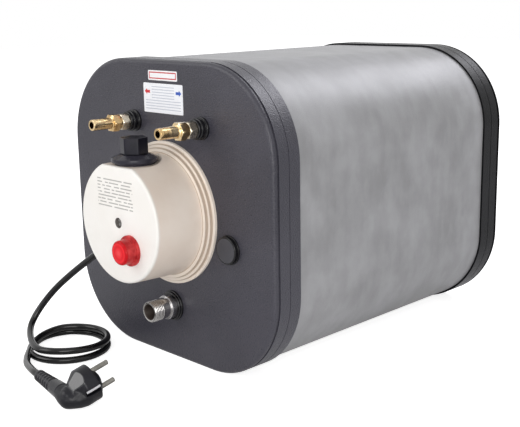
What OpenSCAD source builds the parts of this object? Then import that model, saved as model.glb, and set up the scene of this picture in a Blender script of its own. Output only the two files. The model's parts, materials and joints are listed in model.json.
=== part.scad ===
// Caravan water heater: a foam-lined square casing with two end caps, a steel tank,
// an electric heater head under a round cover, water connections and a mains lead.

/* [Body] */
// Width and height of the square body
body_w = 300; // [290:1:360]
// Length of the body over both end caps
body_l = 370; // [330:1:480]
// Corner radius of the end caps
corner_r = 88; // [70:1:110]
// Depth of each end cap along the body
cap_depth = 34; // [26:1:50]
// Thickness of an end cap's flat panel
cap_panel = 3; // [2:0.5:5]
// Wall of an end cap's skirt
cap_wall = 2; // [1.5:0.1:3]
// Rounding of the edge round an end cap's panel
cap_edge_r = 4; // [2:0.5:5]
// Depth of the shadow groove behind that edge
groove_d = 1; // [0.4:0.1:1]
// Width of the shadow groove
groove_w = 3; // [1:0.5:4]
// Sheet thickness of the casing
casing_wall = 1; // [0.6:0.1:2]

/* [Tank and foam] */
// Foam between the casing's flat sides and the tank
foam_side = 20; // [14:1:24]
// Foam between an end cap's panel and the tank's end
foam_end = 33; // [24:1:45]
// Wall of the tank
tank_wall = 1.5; // [1:0.1:3]
// Knuckle radius between the tank's ends and its side
tank_knuckle = 20; // [12:1:26]
// Radius of the neck that carries the heater head
neck_r = 46; // [40:1:47]
// Wall of the neck
neck_wall = 2.5; // [1.5:0.1:4]
// Thickness of the neck's bolting rim
rim_h = 5; // [3:0.5:6]

/* [Heater cover] */
// Heater axis, to the right of the body's middle
cover_x = 4; // [0:0.5:10]
// Heater axis, above the body's middle
cover_z = 1.3; // [-5:0.1:6]
// Outer radius of the stepped base ring
ring_r = 71.2; // [68:0.1:76]
// Height of one step of the base ring
ring_step_h = 3; // [2:0.5:4]
// Width of one step of the base ring
ring_step_w = 3.3; // [2:0.1:4]
// Radius of the cover at its rim
cover_r = 60.6; // [60:0.1:62]
// Radius of the cover beside its front face
cover_face_r = 58.6; // [58:0.1:60]
// Front face of the cover, in front of the cap
cover_depth = 61.5; // [60:0.5:70]
// Wall of the cover
cover_wall = 2.5; // [1.5:0.1:3]
// Rounding of the cover's front edge
cover_edge_r = 4; // [3.5:0.5:6]
// Flat on top of the cover, above the heater axis
flat_h = 54; // [52:0.5:55]

/* [Water connections] */
// Hot connection, to the left of the body's middle
hot_x = -43.5; // [-50:0.5:-36]
// Cold connection, to the right of the body's middle
cold_x = 57.5; // [50:0.5:62]
// Cold connection, inward from the tank's side
port_inset = 20.6; // [18:0.1:24]
// Outer radius of the water pipes
pipe_r = 6; // [5:0.1:6.4]
// Wall of the water pipes
pipe_wall = 1.5; // [1:0.1:2]
// Plain outer radius of the hose tails
tail_r = 5.6; // [4.8:0.1:6]
// Bore radius of the hose tails
tail_bore_r = 3.4; // [2.5:0.1:4]
// Length of the hose tails in front of their hexagon
tail_l = 22; // [18:1:30]
// Outer radius of the threaded nipple
nipple_r = 10.48; // [9:0.01:11]
// Bore radius of the threaded nipple
nipple_bore_r = 7.75; // [6:0.05:8]
// Nipple, to the right of the body's middle
nipple_x = 6; // [-5:1:15]
// Nipple, below the base ring's lowest point
nipple_gap = 24.5; // [20:0.1:26]
// Length of the nipple's thread
thread_l = 20; // [14:1:26]
// Blanking plug, to the right of the base ring
plug_gap = 15.8; // [15:0.1:20]
// Blanking plug, below the heater axis
plug_drop = 23.3; // [15:0.1:35]
// Radius of the blanking plug's cap
blank_r = 13.4; // [12:0.1:15]

/* [Heater head] */
// Radius of the bolted heater flange
flange_r = 55; // [54:0.5:56]
// Thickness of the heater flange
flange_h = 4; // [3:0.5:5]
// Thickness of the flange gasket
gasket_h = 2; // [1:0.5:3]
// Number of flange bolts
bolt_n = 6; // [4:1:8]
// Shank radius of a flange bolt
bolt_r = 2.5; // [2:0.1:3]
// Radius of the heating element's tube
element_r = 4.2; // [3:0.1:5]
// Distance of the element's legs from the heater axis
element_spread = 14; // [12:1:18]
// Straight length of the element behind the flange
element_l = 220; // [150:5:230]
// Radius of the sensor pocket
pocket_r = 5; // [4:0.1:6]
// Length of the sensor pocket behind the flange
pocket_l = 150; // [80:5:200]
// Length of the pillars under the inner bracket
pillar_l = 18; // [16.5:0.5:20]
// Thickness of the inner bracket
bracket_h = 1.5; // [1:0.1:2]

/* [Reset cap and lamp] */
// Reset cap's axis, in front of the end cap
reset_u = 38.5; // [37.5:0.5:40]
// Radius of the black nut under the reset cap
reset_nut_r = 22; // [18:0.5:23]
// Height of that nut
reset_nut_h = 9.5; // [8:0.5:11]
// Width across the flats of the six-sided reset cap
reset_cap_af = 23.5; // [20.5:0.5:24]
// Height of the reset cap
reset_cap_h = 15.5; // [15:0.5:22]
// Travel of the reset button
reset_travel = 1.5; // [1:0.1:1.8]
// Radius of the lamp's flange
lamp_flange_r = 14.8; // [13:0.1:16]
// Radius of the lamp's lens
lens_r = 12; // [11:0.1:12.6]
// Height of the lens in front of the cover
lens_h = 14; // [13:0.5:18]

/* [Mains lead] */
// Radius of the cord
cord_r = 3.5; // [3:0.1:3.6]
// Mean radius of the coil's turns
coil_r = 40; // [36:1:44]
// Radius of the plug's face
plug_face_r = 17.5; // [17:0.1:18.5]
// Distance between the middles of the plug's pins
pin_pitch = 19; // [18:0.1:20]
// Radius of a plug pin
pin_r = 2.4; // [2:0.1:2.5]
// Length of a plug pin
pin_l = 19; // [15:0.5:20]

/* [Hidden] */
$fn = 72;
// Overcut of every through cut
over = 1;
// Clearance of pieces that slide over each other when fitted
fit = 0.2;
// Clearance round threads and pressed tubes
thread_fit = 0.05;
// Clearance of a turning piece from its neighbours
turn_gap = 0.3;
// Clearance of foam round what it holds
foam_fit = 0.5;

// The lamp's lens reaches furthest forward, so it sets the front of the whole heater
front_reach = cover_depth + lens_h;
front_y = (front_reach - body_l) / 2;
rear_y = front_y + body_l;
mid_z = body_w / 2;

// Casing, foam and tank, one inside the next
casing_w = body_w - 2 * (cap_wall + fit);
casing_r = corner_r - cap_wall - fit;
foam_w = casing_w - 2 * (casing_wall + fit);
foam_r = casing_r - casing_wall - fit;
tank_r = foam_w / 2 - foam_side;
tank_front = -(cap_panel + foam_end);
tank_l = body_l - 2 * (cap_panel + foam_end);
groove_u = -(cap_edge_r + groove_w);
crease_share = 0.6;
crease_w = 0.8;
crease_d = 0.3;

// Base ring and cover, measured outward from the cap's panel
ring_h = 3 * ring_step_h;
ring_lip = 1;
ring_bore_r = cover_r - cover_wall - ring_lip;
heater_hole_r = flange_r + over;
face_in = cover_depth - cover_wall;
boss_h = 5.5;
boss_in = face_in - boss_h;
boss_r = 7;
boss_wall = 2.5;
// The cover is flat from just behind the nut under the reset cap
nut_room = 0.5;
flat_back = reset_u - reset_nut_r - nut_room;

// Heater head, in steps outward
rim_top = 6;
gasket_top = rim_top + gasket_h;
flange_top = gasket_top + flange_h;
bolt_circle = (neck_r + flange_r) / 2;
bolt_head_af = 8;
bolt_head_h = 3.5;
element_rise = 6;
element_proud = 6;
element_end = flange_top + element_proud;
// Brazed bead that joins each leg of the element to its bend
bead_proud = 0.3;
// How far the leg and the bend each stop short of the bead's middle
bead_inset = 0.3;
terminal_r = 2;
terminal_l = 8;
pocket_drop = 18;
pocket_collar_r = 7;
pocket_collar_h = 3;
pillar_r = 3.5;
pillar_x = 30;
pillar_y = 8;
bracket_under = flange_top + pillar_l;
bracket_top = bracket_under + bracket_h;
bracket_half_w = 36;
bracket_low = -33;
bracket_high = 17;
centre_pillar_af = 10;
screw_r = 2;
screw_head_r = 4.2;
screw_head_h = 2.5;
screw_grip = 10;
screw_recess_r = 5;
slot_w = 1.2;
slot_d = 1.2;

// Thermostat and terminal block on the bracket
stat_size = [36, 26, 18];
stat_corner = [-30, -33];
spindle_r = 3;
spindle_in = 6;
spindle_out = 5;
stat_boss_r = 6;
stat_boss_h = 2;
block_size = [28, 18, 14];
block_corner = [7, -3];
block_ways = 3;
way_r = 2.6;
way_d = 8;
way_screw_h = 3;

// Cut-out and reset cap, measured up from the cover's flat
neck_thread_r = 9;
cutout_r = 13;
cutout_h = 20;
button_r = 3.4;
button_proud = 1.5;
button_gap = 0.1;
neck_reach = 8.5;
reset_neck_h = reset_nut_h + turn_gap + neck_reach;
button_foot = -4;
button_well = button_foot - reset_travel - turn_gap;
cap_top_wall = 4;
cap_turn = -20.5;
nut_rim_h = 4;
nut_taper = 7.5;

// Lamp on the cover's face
lamp_x = 17.5;
lamp_y = -23.8;
lamp_neck_r = 6.5;
lamp_back = 40;
lamp_flange_h = 3;
lens_wall = 2;
lens_edge_r = 2.5;
lamp_seat_r = 8;
lamp_seat_h = 1.5;
lamp_nut_af = 17;
lamp_nut_h = 4;
neon_r = 2.6;
neon_h = 5;

// Water connections, in steps outward from the panel
port_z = sqrt((tank_r - port_inset) ^ 2 - cold_x ^ 2);
nipple_z = cover_z - ring_r - nipple_gap;
plug_x = cover_x + ring_r + plug_gap;
plug_z = cover_z - plug_drop;
lip_h = 3;
grommet_neck_r = pipe_r + 2.6;
grommet_lip_r = grommet_neck_r + 1.9;
grommet_flange_r = grommet_neck_r + 2.3;
grommet_sleeve_r = grommet_neck_r + 0.7;
grommet_flange_h = 2.5;
grommet_l = 11;
grommet_rib_h = 0.9;
locknut_af = 15;
locknut_h = 9;
locknut_end = grommet_l + locknut_h;
tail_neck_r = pipe_r + 1.2;
tail_neck_h = 2;
tail_hex_af = 16;
tail_hex_h = 8.5;
tail_hex_end = locknut_end + tail_neck_h + tail_hex_h;
tail_end = tail_hex_end + tail_l;
pipe_short = 4;
pipe_end = tail_hex_end - pipe_short;
tail_plain_l = 10;
barb_n = 3;
barb_d = 0.4;
hot_depth = 40;
cold_depth = 60;
dip_clear = 18;
dip_end = dip_clear - sqrt((tank_r - tank_wall) ^ 2 - (cold_x + pipe_r) ^ 2);
nipple_lip_r = nipple_r + 4.6;
nipple_neck_r = nipple_r + 2.5;
nipple_flange_w = 5;
nipple_flange_r = nipple_r + nipple_flange_w;
nipple_flange_h = 2;
nipple_sleeve_r = nipple_r + 4;
nipple_sleeve_h = 4.5;
collar_r = nipple_r + 1.8;
collar_h = 6.5;
collar_end = nipple_sleeve_h + collar_h;
nipple_end = collar_end + thread_l;
nipple_depth = 14;
thread_pitch = 1.8;
thread_d = 0.9;
thread_plain = 3;
// Half width of a thread groove, as a share of the pitch
thread_open = 0.45;
blank_rim_r = blank_r + 0.8;
blank_rim_h = 1.2;
blank_h = 3.5;
blank_edge_r = 2;
blank_neck_r = blank_r - 3;
blank_catch_r = blank_neck_r + 0.8;
blank_catch_h = 2;
pocket_fit = 1;

// Cord gland, along a line that leaves the heater axis at this angle
gland_angle = 213;
gland_u = 36.5;
gland_boss_r = 11;
gland_seat_in = 53.5;
gland_seat_out = 62.5;
gland_thread_r = 6.2;
gland_hex_af = 19;
gland_hex_h = 4;
gland_collar_r = 6.8;
gland_collar_h = 5;
gland_nut_r = 9;
gland_nut_tip_r = 6;
gland_nut_straight = 9;
gland_end = 80;
gland_lock_af = 17;
gland_lock_h = 3.5;
gland_bore_r = cord_r + 0.1;
gland_dir = [cos(gland_angle), 0, sin(gland_angle)];
gland_mouth = [cover_x, front_y - gland_u, mid_z + cover_z] + gland_end * gland_dir;
// Length of cord held inside the gland
gland_hold = 10;

// Coil on the floor: the upper turn drops inside the lower turn's last stretch
coil_mid = [-92, -210];
coil_from = 0.16;
coil_to = 2.17;
coil_lay = 2 * cord_r + 0.8;
// The upper turn springs up a little in front
coil_spring = 2.2;
spring_at = 0.375;
drop_from = 0.93;
drop_to = 1.16;
widen_from = 1.70;
widen_to = 1.93;
coil_steps = 48;
coil_sides = 6;
cord_sides = 10;
straight = 2 * cord_r;
lead_run = 2 * straight;
// Points along the lead from the gland down to the coil
lead_mids = [
    [-87, -187, 91], [-101, -190, 81], [-118, -195, 67], [-131, -200, 55],
    [-140, -206, 42], [-145, -213, 31], [-145.8, -220, 21], [-141, -228, 14]
];
// Points along the tail from the coil to the plug
tail_mids = [[-88, -265, 4.5], [-76, -269.8, 5.8], [-62, -275.4, 8]];

// Plug lying on the floor, with its pins one above the other
plug_yaw = -9;
plug_tilt = 17;
plug_roll = -1.5;
plug_disc_h = 12;
plug_at = [37.2, -269.7, plug_face_r * cos(plug_tilt) + (plug_disc_h + over) * sin(plug_tilt)];
plug_waist_r = 12.6;
plug_waist_y = -18;
plug_elbow_r = 9.3;
plug_elbow_y = -27;
plug_elbow_drop = 3.5;
relief_y = -26.5;
relief_root_r = 8;
relief_tip_r = 5.6;
relief_root_x = -13;
relief_tip_x = -65;
relief_ribs = 6;
relief_rib_d = 1;
relief_rib_w = 2;
clip_size = [1.2, 15, 5];
clip_inset = 0.6;
pin_tip_r = 1;
relief_dir = plug_turned([1, 0, 0]);
relief_mouth = plug_at + plug_turned([relief_tip_x, relief_y, 0]);

// A direction or place in the plug's own frame, turned as the plug lies
function about_x(a, v) = [v.x, v.y * cos(a) - v.z * sin(a), v.y * sin(a) + v.z * cos(a)];
function about_y(a, v) = [v.x * cos(a) + v.z * sin(a), v.y, v.z * cos(a) - v.x * sin(a)];
function about_z(a, v) = [v.x * cos(a) - v.y * sin(a), v.x * sin(a) + v.y * cos(a), v.z];
function plug_turned(v) = about_z(plug_yaw, about_x(plug_tilt, about_y(plug_roll, v)));

// Places

// Local Z points out of the front cap's panel, local Y points up
module outward(x, z) {
    translate([x, front_y, mid_z + z])
        rotate([90, 0, 0])
            children();
}

// Local Z points out of the rear cap's panel
module rearward() {
    translate([0, rear_y, mid_z])
        rotate([-90, 0, 0])
            children();
}

// Local Z runs along the heater axis
module on_heater() {
    outward(cover_x, cover_z)
        children();
}

// Local Z points up from the middle of the reset cap's seat on the cover's flat
module on_flat() {
    on_heater()
        translate([0, flat_h, reset_u])
            rotate([-90, 0, 0])
                children();
}

// Local Z runs outward along the cord gland, from the heater axis
module along_gland() {
    on_heater()
        translate([0, 0, gland_u])
            rotate([0, 0, gland_angle])
                rotate([0, 90, 0])
                    children();
}

// The plug's own frame: pins along Y, cord along minus X
module on_plug() {
    translate(plug_at)
        rotate([0, 0, plug_yaw])
            rotate([plug_tilt, 0, 0])
                rotate([0, plug_roll, 0])
                    children();
}

// Shapes

module rod(r, from, to) {
    translate([0, 0, from])
        cylinder(r = r, h = to - from);
}

module pipe(r, bore, from, to) {
    difference() {
        rod(r, from, to);
        rod(bore, from - over, to + over);
    }
}

module hexagon(af, from, to) {
    translate([0, 0, from])
        cylinder(d = af / cos(30), h = to - from, $fn = 6);
}

module hex_nut(af, bore, from, to) {
    difference() {
        hexagon(af, from, to);
        rod(bore, from - over, to + over);
    }
}

module rounded_square(w, r) {
    square([w, w - 2 * r], center = true);
    square([w - 2 * r, w], center = true);
    for (x = [-1, 1], y = [-1, 1])
        translate([x, y] * (w / 2 - r))
            circle(r = r);
}

module square_prism(w, r, from, to) {
    translate([0, 0, from])
        linear_extrude(height = to - from)
            rounded_square(w, r);
}

// Half outline of a disc whose upper edge is rounded
module rounded_half(r, h, edge) {
    square([r, h - edge]);
    square([r - edge, h]);
    translate([r - edge, h - edge])
        intersection() {
            circle(r = edge);
            square(edge);
        }
}

// Whole outline of a bar whose two upper edges are rounded
module rounded_bar(w, h, edge) {
    rounded_half(w / 2, h, edge);
    mirror([1, 0])
        rounded_half(w / 2, h, edge);
}

// Square prism from zero up, with a rounded upper edge all round
module edged_prism(w, r, h, edge) {
    for (x = [-1, 1], y = [-1, 1])
        translate([x * (w / 2 - r), y * (w / 2 - r), 0])
            rotate_extrude()
                rounded_half(r, h, edge);
    for (turn = [0, 90])
        rotate([0, 0, turn])
            translate([0, w / 2 - r, 0])
                rotate([90, 0, 0])
                    linear_extrude(height = w - 2 * r)
                        rounded_bar(w, h, edge);
}

// Frame of material just under the skin of a square prism
module skin_frame(w, r, d, from, to) {
    difference() {
        square_prism(w + 2 * over, r + over, from, to);
        square_prism(w - 2 * d, r - d, from - over, to + over);
    }
}

module end_cap() {
    crease_u = -cap_depth * crease_share;
    difference() {
        translate([0, 0, -cap_depth])
            edged_prism(body_w, corner_r, cap_depth, cap_edge_r);
        square_prism(body_w - 2 * cap_wall, corner_r - cap_wall, -cap_depth - over, -cap_panel);
        skin_frame(body_w, corner_r, groove_d, groove_u, groove_u + groove_w);
        skin_frame(body_w, corner_r, crease_d, crease_u, crease_u + crease_w);
    }
}

module rounded_tank_half(r, l, k) {
    translate([0, k])
        square([r, l - 2 * k]);
    square([r - k, l]);
    for (y = [k, l - k])
        translate([r - k, y])
            circle(r = k);
}

module tank_block(grow) {
    translate([0, 0, tank_front - tank_l - grow])
        rotate_extrude()
            rounded_tank_half(tank_r + grow, tank_l + 2 * grow, tank_knuckle + grow);
}

// Directions along a path of points
function unit(v) = v / norm(v);
function step_dir(p, i) = unit(p[i + 1] - p[i]);
function path_dir(p, i) =
    i == 0 ? step_dir(p, 0)
    : i == len(p) - 1 ? step_dir(p, i - 1)
    : unit(step_dir(p, i - 1) + step_dir(p, i));
function carried(n, t) = unit(n - (n * t) * t);
function path_sides(p, i, n) =
    i == len(p) ? []
    : let (m = carried(n, path_dir(p, i))) concat([m], path_sides(p, i + 1, m));
function ring_at(c, n, t, r, sides) =
    [for (k = [0:sides - 1]) c + r * (cos(360 * k / sides) * n + sin(360 * k / sides) * cross(t, n))];

// Closed tube of triangles along a path
module swept_tube(p, r, sides, first_side) {
    across = path_sides(p, 0, first_side);
    rings = [for (i = [0:len(p) - 1]) each ring_at(p[i], across[i], path_dir(p, i), r, sides)];
    last = (len(p) - 1) * sides;
    walls = [
        for (i = [0:len(p) - 2], k = [0:sides - 1])
            let (a = i * sides + k, b = i * sides + (k + 1) % sides)
                each [[a, a + sides, b], [b, a + sides, b + sides]]
    ];
    start_fan = [for (k = [1:sides - 2]) [0, k, k + 1]];
    end_fan = [for (k = [1:sides - 2]) [last, last + k + 1, last + k]];
    polyhedron(points = rings, faces = concat(walls, start_fan, end_fan));
}

// Route of the coil, as a share of whole turns
function eased(t) = let (s = min(1, max(0, t))) s * s * (3 - 2 * s);
function turn_r(t) = coil_r + coil_lay * eased((t - widen_from) / (widen_to - widen_from));
function spring(t) = t < 1 ? coil_spring * max(0, cos(360 * (t - spring_at))) ^ 2 * eased((drop_from - t) / 0.2) : 0;
function turn_z(t) = cord_r + coil_lay * (1 - eased((t - drop_from) / (drop_to - drop_from))) + spring(t);
function turn_point(t) = [
    coil_mid.x - turn_r(t) * cos(360 * t),
    coil_mid.y - turn_r(t) * sin(360 * t),
    turn_z(t)
];
function turn_dir(t) = [sin(360 * t), -cos(360 * t), 0];
function turn_at(i) = coil_from + (coil_to - coil_from) * i / coil_steps;

coil_start = turn_point(coil_from) - straight * turn_dir(coil_from);
coil_end = turn_point(coil_to) + straight * turn_dir(coil_to);
coil_route = concat(
    [coil_start],
    [for (i = [0:coil_steps]) turn_point(turn_at(i))],
    [coil_end]
);
lead_route = concat(
    [gland_mouth - gland_hold * gland_dir, gland_mouth, gland_mouth + lead_run * gland_dir],
    lead_mids,
    [coil_start - lead_run * turn_dir(coil_from), coil_start]
);
tail_route = concat(
    [coil_end, coil_end + lead_run * turn_dir(coil_to)],
    tail_mids,
    [relief_mouth - lead_run * relief_dir, relief_mouth]
);
function route_length(p) = len(p) < 2 ? 0 : norm([for (i = [0:len(p) - 2]) sqrt(norm(p[i + 1] - p[i]))]) ^ 2;

// Points of the coil at least half a turn apart along the cord
half_turn = 12;
coil_gap = min([
    for (i = [0:len(coil_route) - 1 - half_turn], j = [i + half_turn:len(coil_route) - 1])
        norm(coil_route[i] - coil_route[j])
]) - 2 * cord_r;
echo("least gap of the coil to itself", coil_gap);
echo("cord length", route_length(lead_route) + route_length(coil_route) + route_length(tail_route));

// Casing, caps, foam and tank

module outer_casing() {
    color([0.62, 0.63, 0.64])
        outward(0, 0)
            difference() {
                square_prism(casing_w, casing_r, cap_panel - body_l, -cap_panel);
                square_prism(
                    casing_w - 2 * casing_wall, casing_r - casing_wall,
                    cap_panel - body_l - over, over - cap_panel
                );
            }
}

module front_cap() {
    color([0.29, 0.29, 0.31])
        difference() {
            outward(0, 0)
                end_cap();
            on_heater()
                rod(heater_hole_r, -cap_panel - over, over);
            for (x = [hot_x, cold_x])
                outward(x, port_z)
                    rod(grommet_neck_r + fit, -cap_panel - over, over);
            outward(nipple_x, nipple_z)
                rod(nipple_neck_r + fit, -cap_panel - over, over);
            outward(plug_x, plug_z)
                rod(blank_neck_r + fit, -cap_panel - over, over);
        }
}

module rear_cap() {
    color([0.16, 0.16, 0.17])
        rearward()
            end_cap();
}

// Half of the foam lining: 1 is the upper half, -1 the lower
module foam_half(side) {
    difference() {
        outward(0, 0)
            square_prism(foam_w, foam_r, cap_panel - body_l, -cap_panel);
        outward(0, 0)
            tank_block(foam_fit);
        translate([-body_w, front_y - over, side > 0 ? -body_w / 2 : mid_z])
            cube([2 * body_w, body_l + 2 * over, body_w]);
        on_heater()
            rod(heater_hole_r, tank_front - over, 0);
        for (x = [hot_x, cold_x])
            outward(x, port_z) {
                rod(pipe_r + foam_fit, tank_front - tank_knuckle, 0);
                rod(grommet_lip_r + foam_fit, -cap_panel - lip_h - foam_fit, 0);
            }
        outward(nipple_x, nipple_z) {
            rod(nipple_r + foam_fit, tank_front - tank_knuckle, 0);
            rod(nipple_lip_r + foam_fit, -cap_panel - lip_h - foam_fit, 0);
        }
        outward(plug_x, plug_z)
            rod(blank_catch_r + foam_fit, -cap_panel - blank_catch_h - pocket_fit, 0);
    }
}

module insulation_upper() {
    color([0.93, 0.93, 0.9])
        foam_half(1);
}

module insulation_lower() {
    color([0.9, 0.9, 0.87])
        foam_half(-1);
}

module tank() {
    color([0.75, 0.76, 0.77])
        difference() {
            outward(0, 0)
                tank_block(0);
            outward(0, 0)
                tank_block(-tank_wall);
            on_heater()
                rod(neck_r - neck_wall, tank_front - 2 * tank_wall, 0);
            for (x = [hot_x, cold_x])
                outward(x, port_z)
                    rod(pipe_r + thread_fit, tank_front - tank_knuckle, 0);
            outward(nipple_x, nipple_z)
                rod(nipple_r + thread_fit, tank_front - tank_knuckle, 0);
        }
}

module bolt_places() {
    for (i = [0:bolt_n - 1])
        rotate([0, 0, 360 * (i + 0.5) / bolt_n])
            translate([0, bolt_circle, 0])
                children();
}

module bolt_holes(from, to) {
    bolt_places()
        rod(bolt_r + fit, from - over, to + over);
}

module tank_neck() {
    color([0.7, 0.71, 0.72])
        on_heater()
            difference() {
                union() {
                    rod(neck_r, tank_front, rim_top);
                    rod(flange_r, rim_top - rim_h, rim_top);
                }
                rod(neck_r - neck_wall, tank_front - over, rim_top + over);
                bolt_holes(rim_top - rim_h, rim_top);
            }
}

// Water connections

module hot_pipe() {
    color([0.74, 0.75, 0.76])
        outward(hot_x, port_z)
            pipe(pipe_r, pipe_r - pipe_wall, tank_front - hot_depth, pipe_end);
}

module cold_pipe() {
    turn_u = tank_front - cold_depth;
    bore_r = pipe_r - pipe_wall;
    color([0.74, 0.75, 0.76])
        outward(cold_x, port_z)
            difference() {
                union() {
                    rod(pipe_r, turn_u, pipe_end);
                    translate([0, 0, turn_u])
                        sphere(r = pipe_r);
                    translate([0, dip_end - port_z, turn_u])
                        rotate([-90, 0, 0])
                            rod(pipe_r, 0, port_z - dip_end);
                }
                rod(bore_r, turn_u, pipe_end + over);
                translate([0, dip_end - port_z, turn_u])
                    rotate([-90, 0, 0])
                        rod(bore_r, -over, port_z - dip_end);
            }
}

module pipe_grommet() {
    rib_u = (grommet_flange_h + grommet_l) / 2;
    bore_r = pipe_r + thread_fit;
    difference() {
        union() {
            rod(grommet_lip_r, -cap_panel - lip_h, -cap_panel);
            rod(grommet_neck_r, -cap_panel, 0);
            rod(grommet_flange_r, 0, grommet_flange_h);
            rod(grommet_sleeve_r, grommet_flange_h, grommet_l);
            rod(grommet_sleeve_r + grommet_rib_h, rib_u - grommet_rib_h, rib_u + grommet_rib_h);
        }
        rod(bore_r, -cap_panel - lip_h - over, grommet_l + over);
    }
}

module hot_grommet() {
    color([0.1, 0.1, 0.1])
        outward(hot_x, port_z)
            pipe_grommet();
}

module cold_grommet() {
    color([0.1, 0.1, 0.1])
        outward(cold_x, port_z)
            pipe_grommet();
}

module pipe_locknut() {
    hex_nut(locknut_af, pipe_r + thread_fit, grommet_l, locknut_end);
}

module hot_locknut() {
    color([0.85, 0.8, 0.66])
        outward(hot_x, port_z)
            pipe_locknut();
}

module cold_locknut() {
    color([0.85, 0.8, 0.66])
        outward(cold_x, port_z)
            pipe_locknut();
}

module hose_tail() {
    barb_l = (tail_l - tail_plain_l) / barb_n;
    difference() {
        union() {
            rod(tail_neck_r, locknut_end, tail_hex_end);
            hexagon(tail_hex_af, locknut_end + tail_neck_h, tail_hex_end);
            translate([0, 0, tail_hex_end])
                rotate_extrude()
                    polygon(concat(
                        [[0, -over], [tail_r, -over]],
                        [for (i = [0:barb_n - 1]) each [
                            [tail_r, tail_plain_l + i * barb_l],
                            [tail_r - barb_d, tail_plain_l + (i + 1) * barb_l]
                        ]],
                        [[0, tail_l]]
                    ));
        }
        rod(tail_bore_r, locknut_end - over, tail_end + over);
        rod(pipe_r + thread_fit, locknut_end - over, pipe_end + over);
    }
}

module hot_hose_tail() {
    color([0.83, 0.67, 0.33])
        outward(hot_x, port_z)
            hose_tail();
}

module cold_hose_tail() {
    color([0.83, 0.67, 0.33])
        outward(cold_x, port_z)
            hose_tail();
}

module threaded_nipple() {
    grooves = floor((thread_l - thread_plain - thread_pitch) / thread_pitch);
    half_w = thread_pitch * thread_open * (thread_d + over) / thread_d;
    color([0.72, 0.71, 0.67])
        outward(nipple_x, nipple_z)
            difference() {
                rod(nipple_r, tank_front - nipple_depth, nipple_end);
                rod(nipple_bore_r, tank_front - nipple_depth - over, nipple_end + over);
                for (i = [0:grooves - 1])
                    translate([0, 0, nipple_end - (i + 1) * thread_pitch])
                        rotate_extrude()
                            polygon([
                                [nipple_r - thread_d, 0],
                                [nipple_r + over, half_w],
                                [nipple_r + over, -half_w]
                            ]);
            }
}

module nipple_collar() {
    color([0.55, 0.55, 0.5])
        outward(nipple_x, nipple_z)
            pipe(collar_r, nipple_r + thread_fit, nipple_sleeve_h, collar_end);
}

module nipple_grommet() {
    color([0.1, 0.1, 0.1])
        outward(nipple_x, nipple_z)
            difference() {
                union() {
                    rod(nipple_lip_r, -cap_panel - lip_h, -cap_panel);
                    rod(nipple_neck_r, -cap_panel, 0);
                    rod(nipple_flange_r, 0, nipple_flange_h);
                    rod(nipple_sleeve_r, nipple_flange_h, nipple_sleeve_h);
                }
                rod(nipple_r + thread_fit, -cap_panel - lip_h - over, nipple_sleeve_h + over);
            }
}

module blanking_plug() {
    color([0.12, 0.12, 0.13])
        outward(plug_x, plug_z) {
            rotate_extrude()
                rounded_half(blank_r, blank_h, blank_edge_r);
            rod(blank_rim_r, 0, blank_rim_h);
            rod(blank_neck_r, -cap_panel, 0);
            rod(blank_catch_r, -cap_panel - blank_catch_h, -cap_panel);
        }
}

// Cover

module base_ring() {
    color([0.92, 0.88, 0.8])
        on_heater()
            difference() {
                union()
                    for (i = [0:2])
                        rod(ring_r - i * ring_step_w, i * ring_step_h, (i + 1) * ring_step_h);
                rod(ring_bore_r, -over, ring_h + over);
            }
}

// Solid of the cover, drawn in by some thickness all round
module cover_block(inset) {
    difference() {
        translate([0, 0, ring_h])
            rotate_extrude()
                cover_half(inset);
        translate([-cover_r, flat_h - inset, flat_back - inset])
            cube([2 * cover_r, cover_r, cover_depth]);
    }
}

module cover_half(inset) {
    top = cover_depth - ring_h - inset;
    edge = cover_edge_r - inset;
    face_r = cover_face_r - inset;
    polygon([[0, 0], [cover_r - inset, 0], [face_r, top - edge], [face_r - edge, top], [0, top]]);
    translate([face_r - edge, top - edge])
        circle(r = edge);
}

module heater_cover() {
    color([0.95, 0.93, 0.88])
        difference() {
            union() {
                on_heater()
                    difference() {
                        cover_block(0);
                        cover_block(cover_wall);
                        cover_mouth();
                    }
                on_heater()
                    rod(boss_r, boss_in, face_in);
                along_gland()
                    rod(gland_boss_r, gland_seat_in, gland_seat_out);
            }
            on_heater() {
                rod(screw_recess_r, boss_in + boss_wall, cover_depth + over);
                rod(screw_r + fit, boss_in - over, cover_depth);
                translate([lamp_x, lamp_y, 0])
                    rod(lamp_neck_r + fit, boss_in, cover_depth + over);
            }
            on_flat()
                rod(neck_thread_r + fit, -cover_wall - over, over);
            along_gland()
                rod(gland_thread_r + fit, gland_seat_in - over, gland_seat_out + over);
        }
}

// Opening of the cover towards the base ring
module cover_mouth() {
    rod(cover_r - cover_wall, ring_h - over, ring_h);
}

module cover_screw() {
    head_u = boss_in + boss_wall;
    color([0.08, 0.08, 0.08])
        on_heater()
            difference() {
                union() {
                    rod(screw_head_r, head_u, head_u + screw_head_h);
                    rod(screw_r, boss_in - screw_grip, head_u);
                }
                for (turn = [0, 90])
                    rotate([0, 0, turn])
                        translate([-screw_head_r, -slot_w / 2, head_u + screw_head_h - slot_d])
                            cube([2 * screw_head_r, slot_w, slot_d + over]);
            }
}

module centre_pillar() {
    color([0.8, 0.8, 0.82])
        on_heater()
            difference() {
                hexagon(centre_pillar_af, bracket_top, boss_in);
                rod(screw_r + thread_fit, boss_in - screw_grip - over, boss_in + over);
            }
}

// Heater head

module flange_gasket() {
    color([0.15, 0.15, 0.15])
        on_heater()
            difference() {
                pipe(flange_r, neck_r - neck_wall, rim_top, gasket_top);
                bolt_holes(rim_top, gasket_top);
            }
}

module element_legs() {
    for (x = [-1, 1])
        translate([x * element_spread, element_rise, 0])
            children();
}

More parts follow.
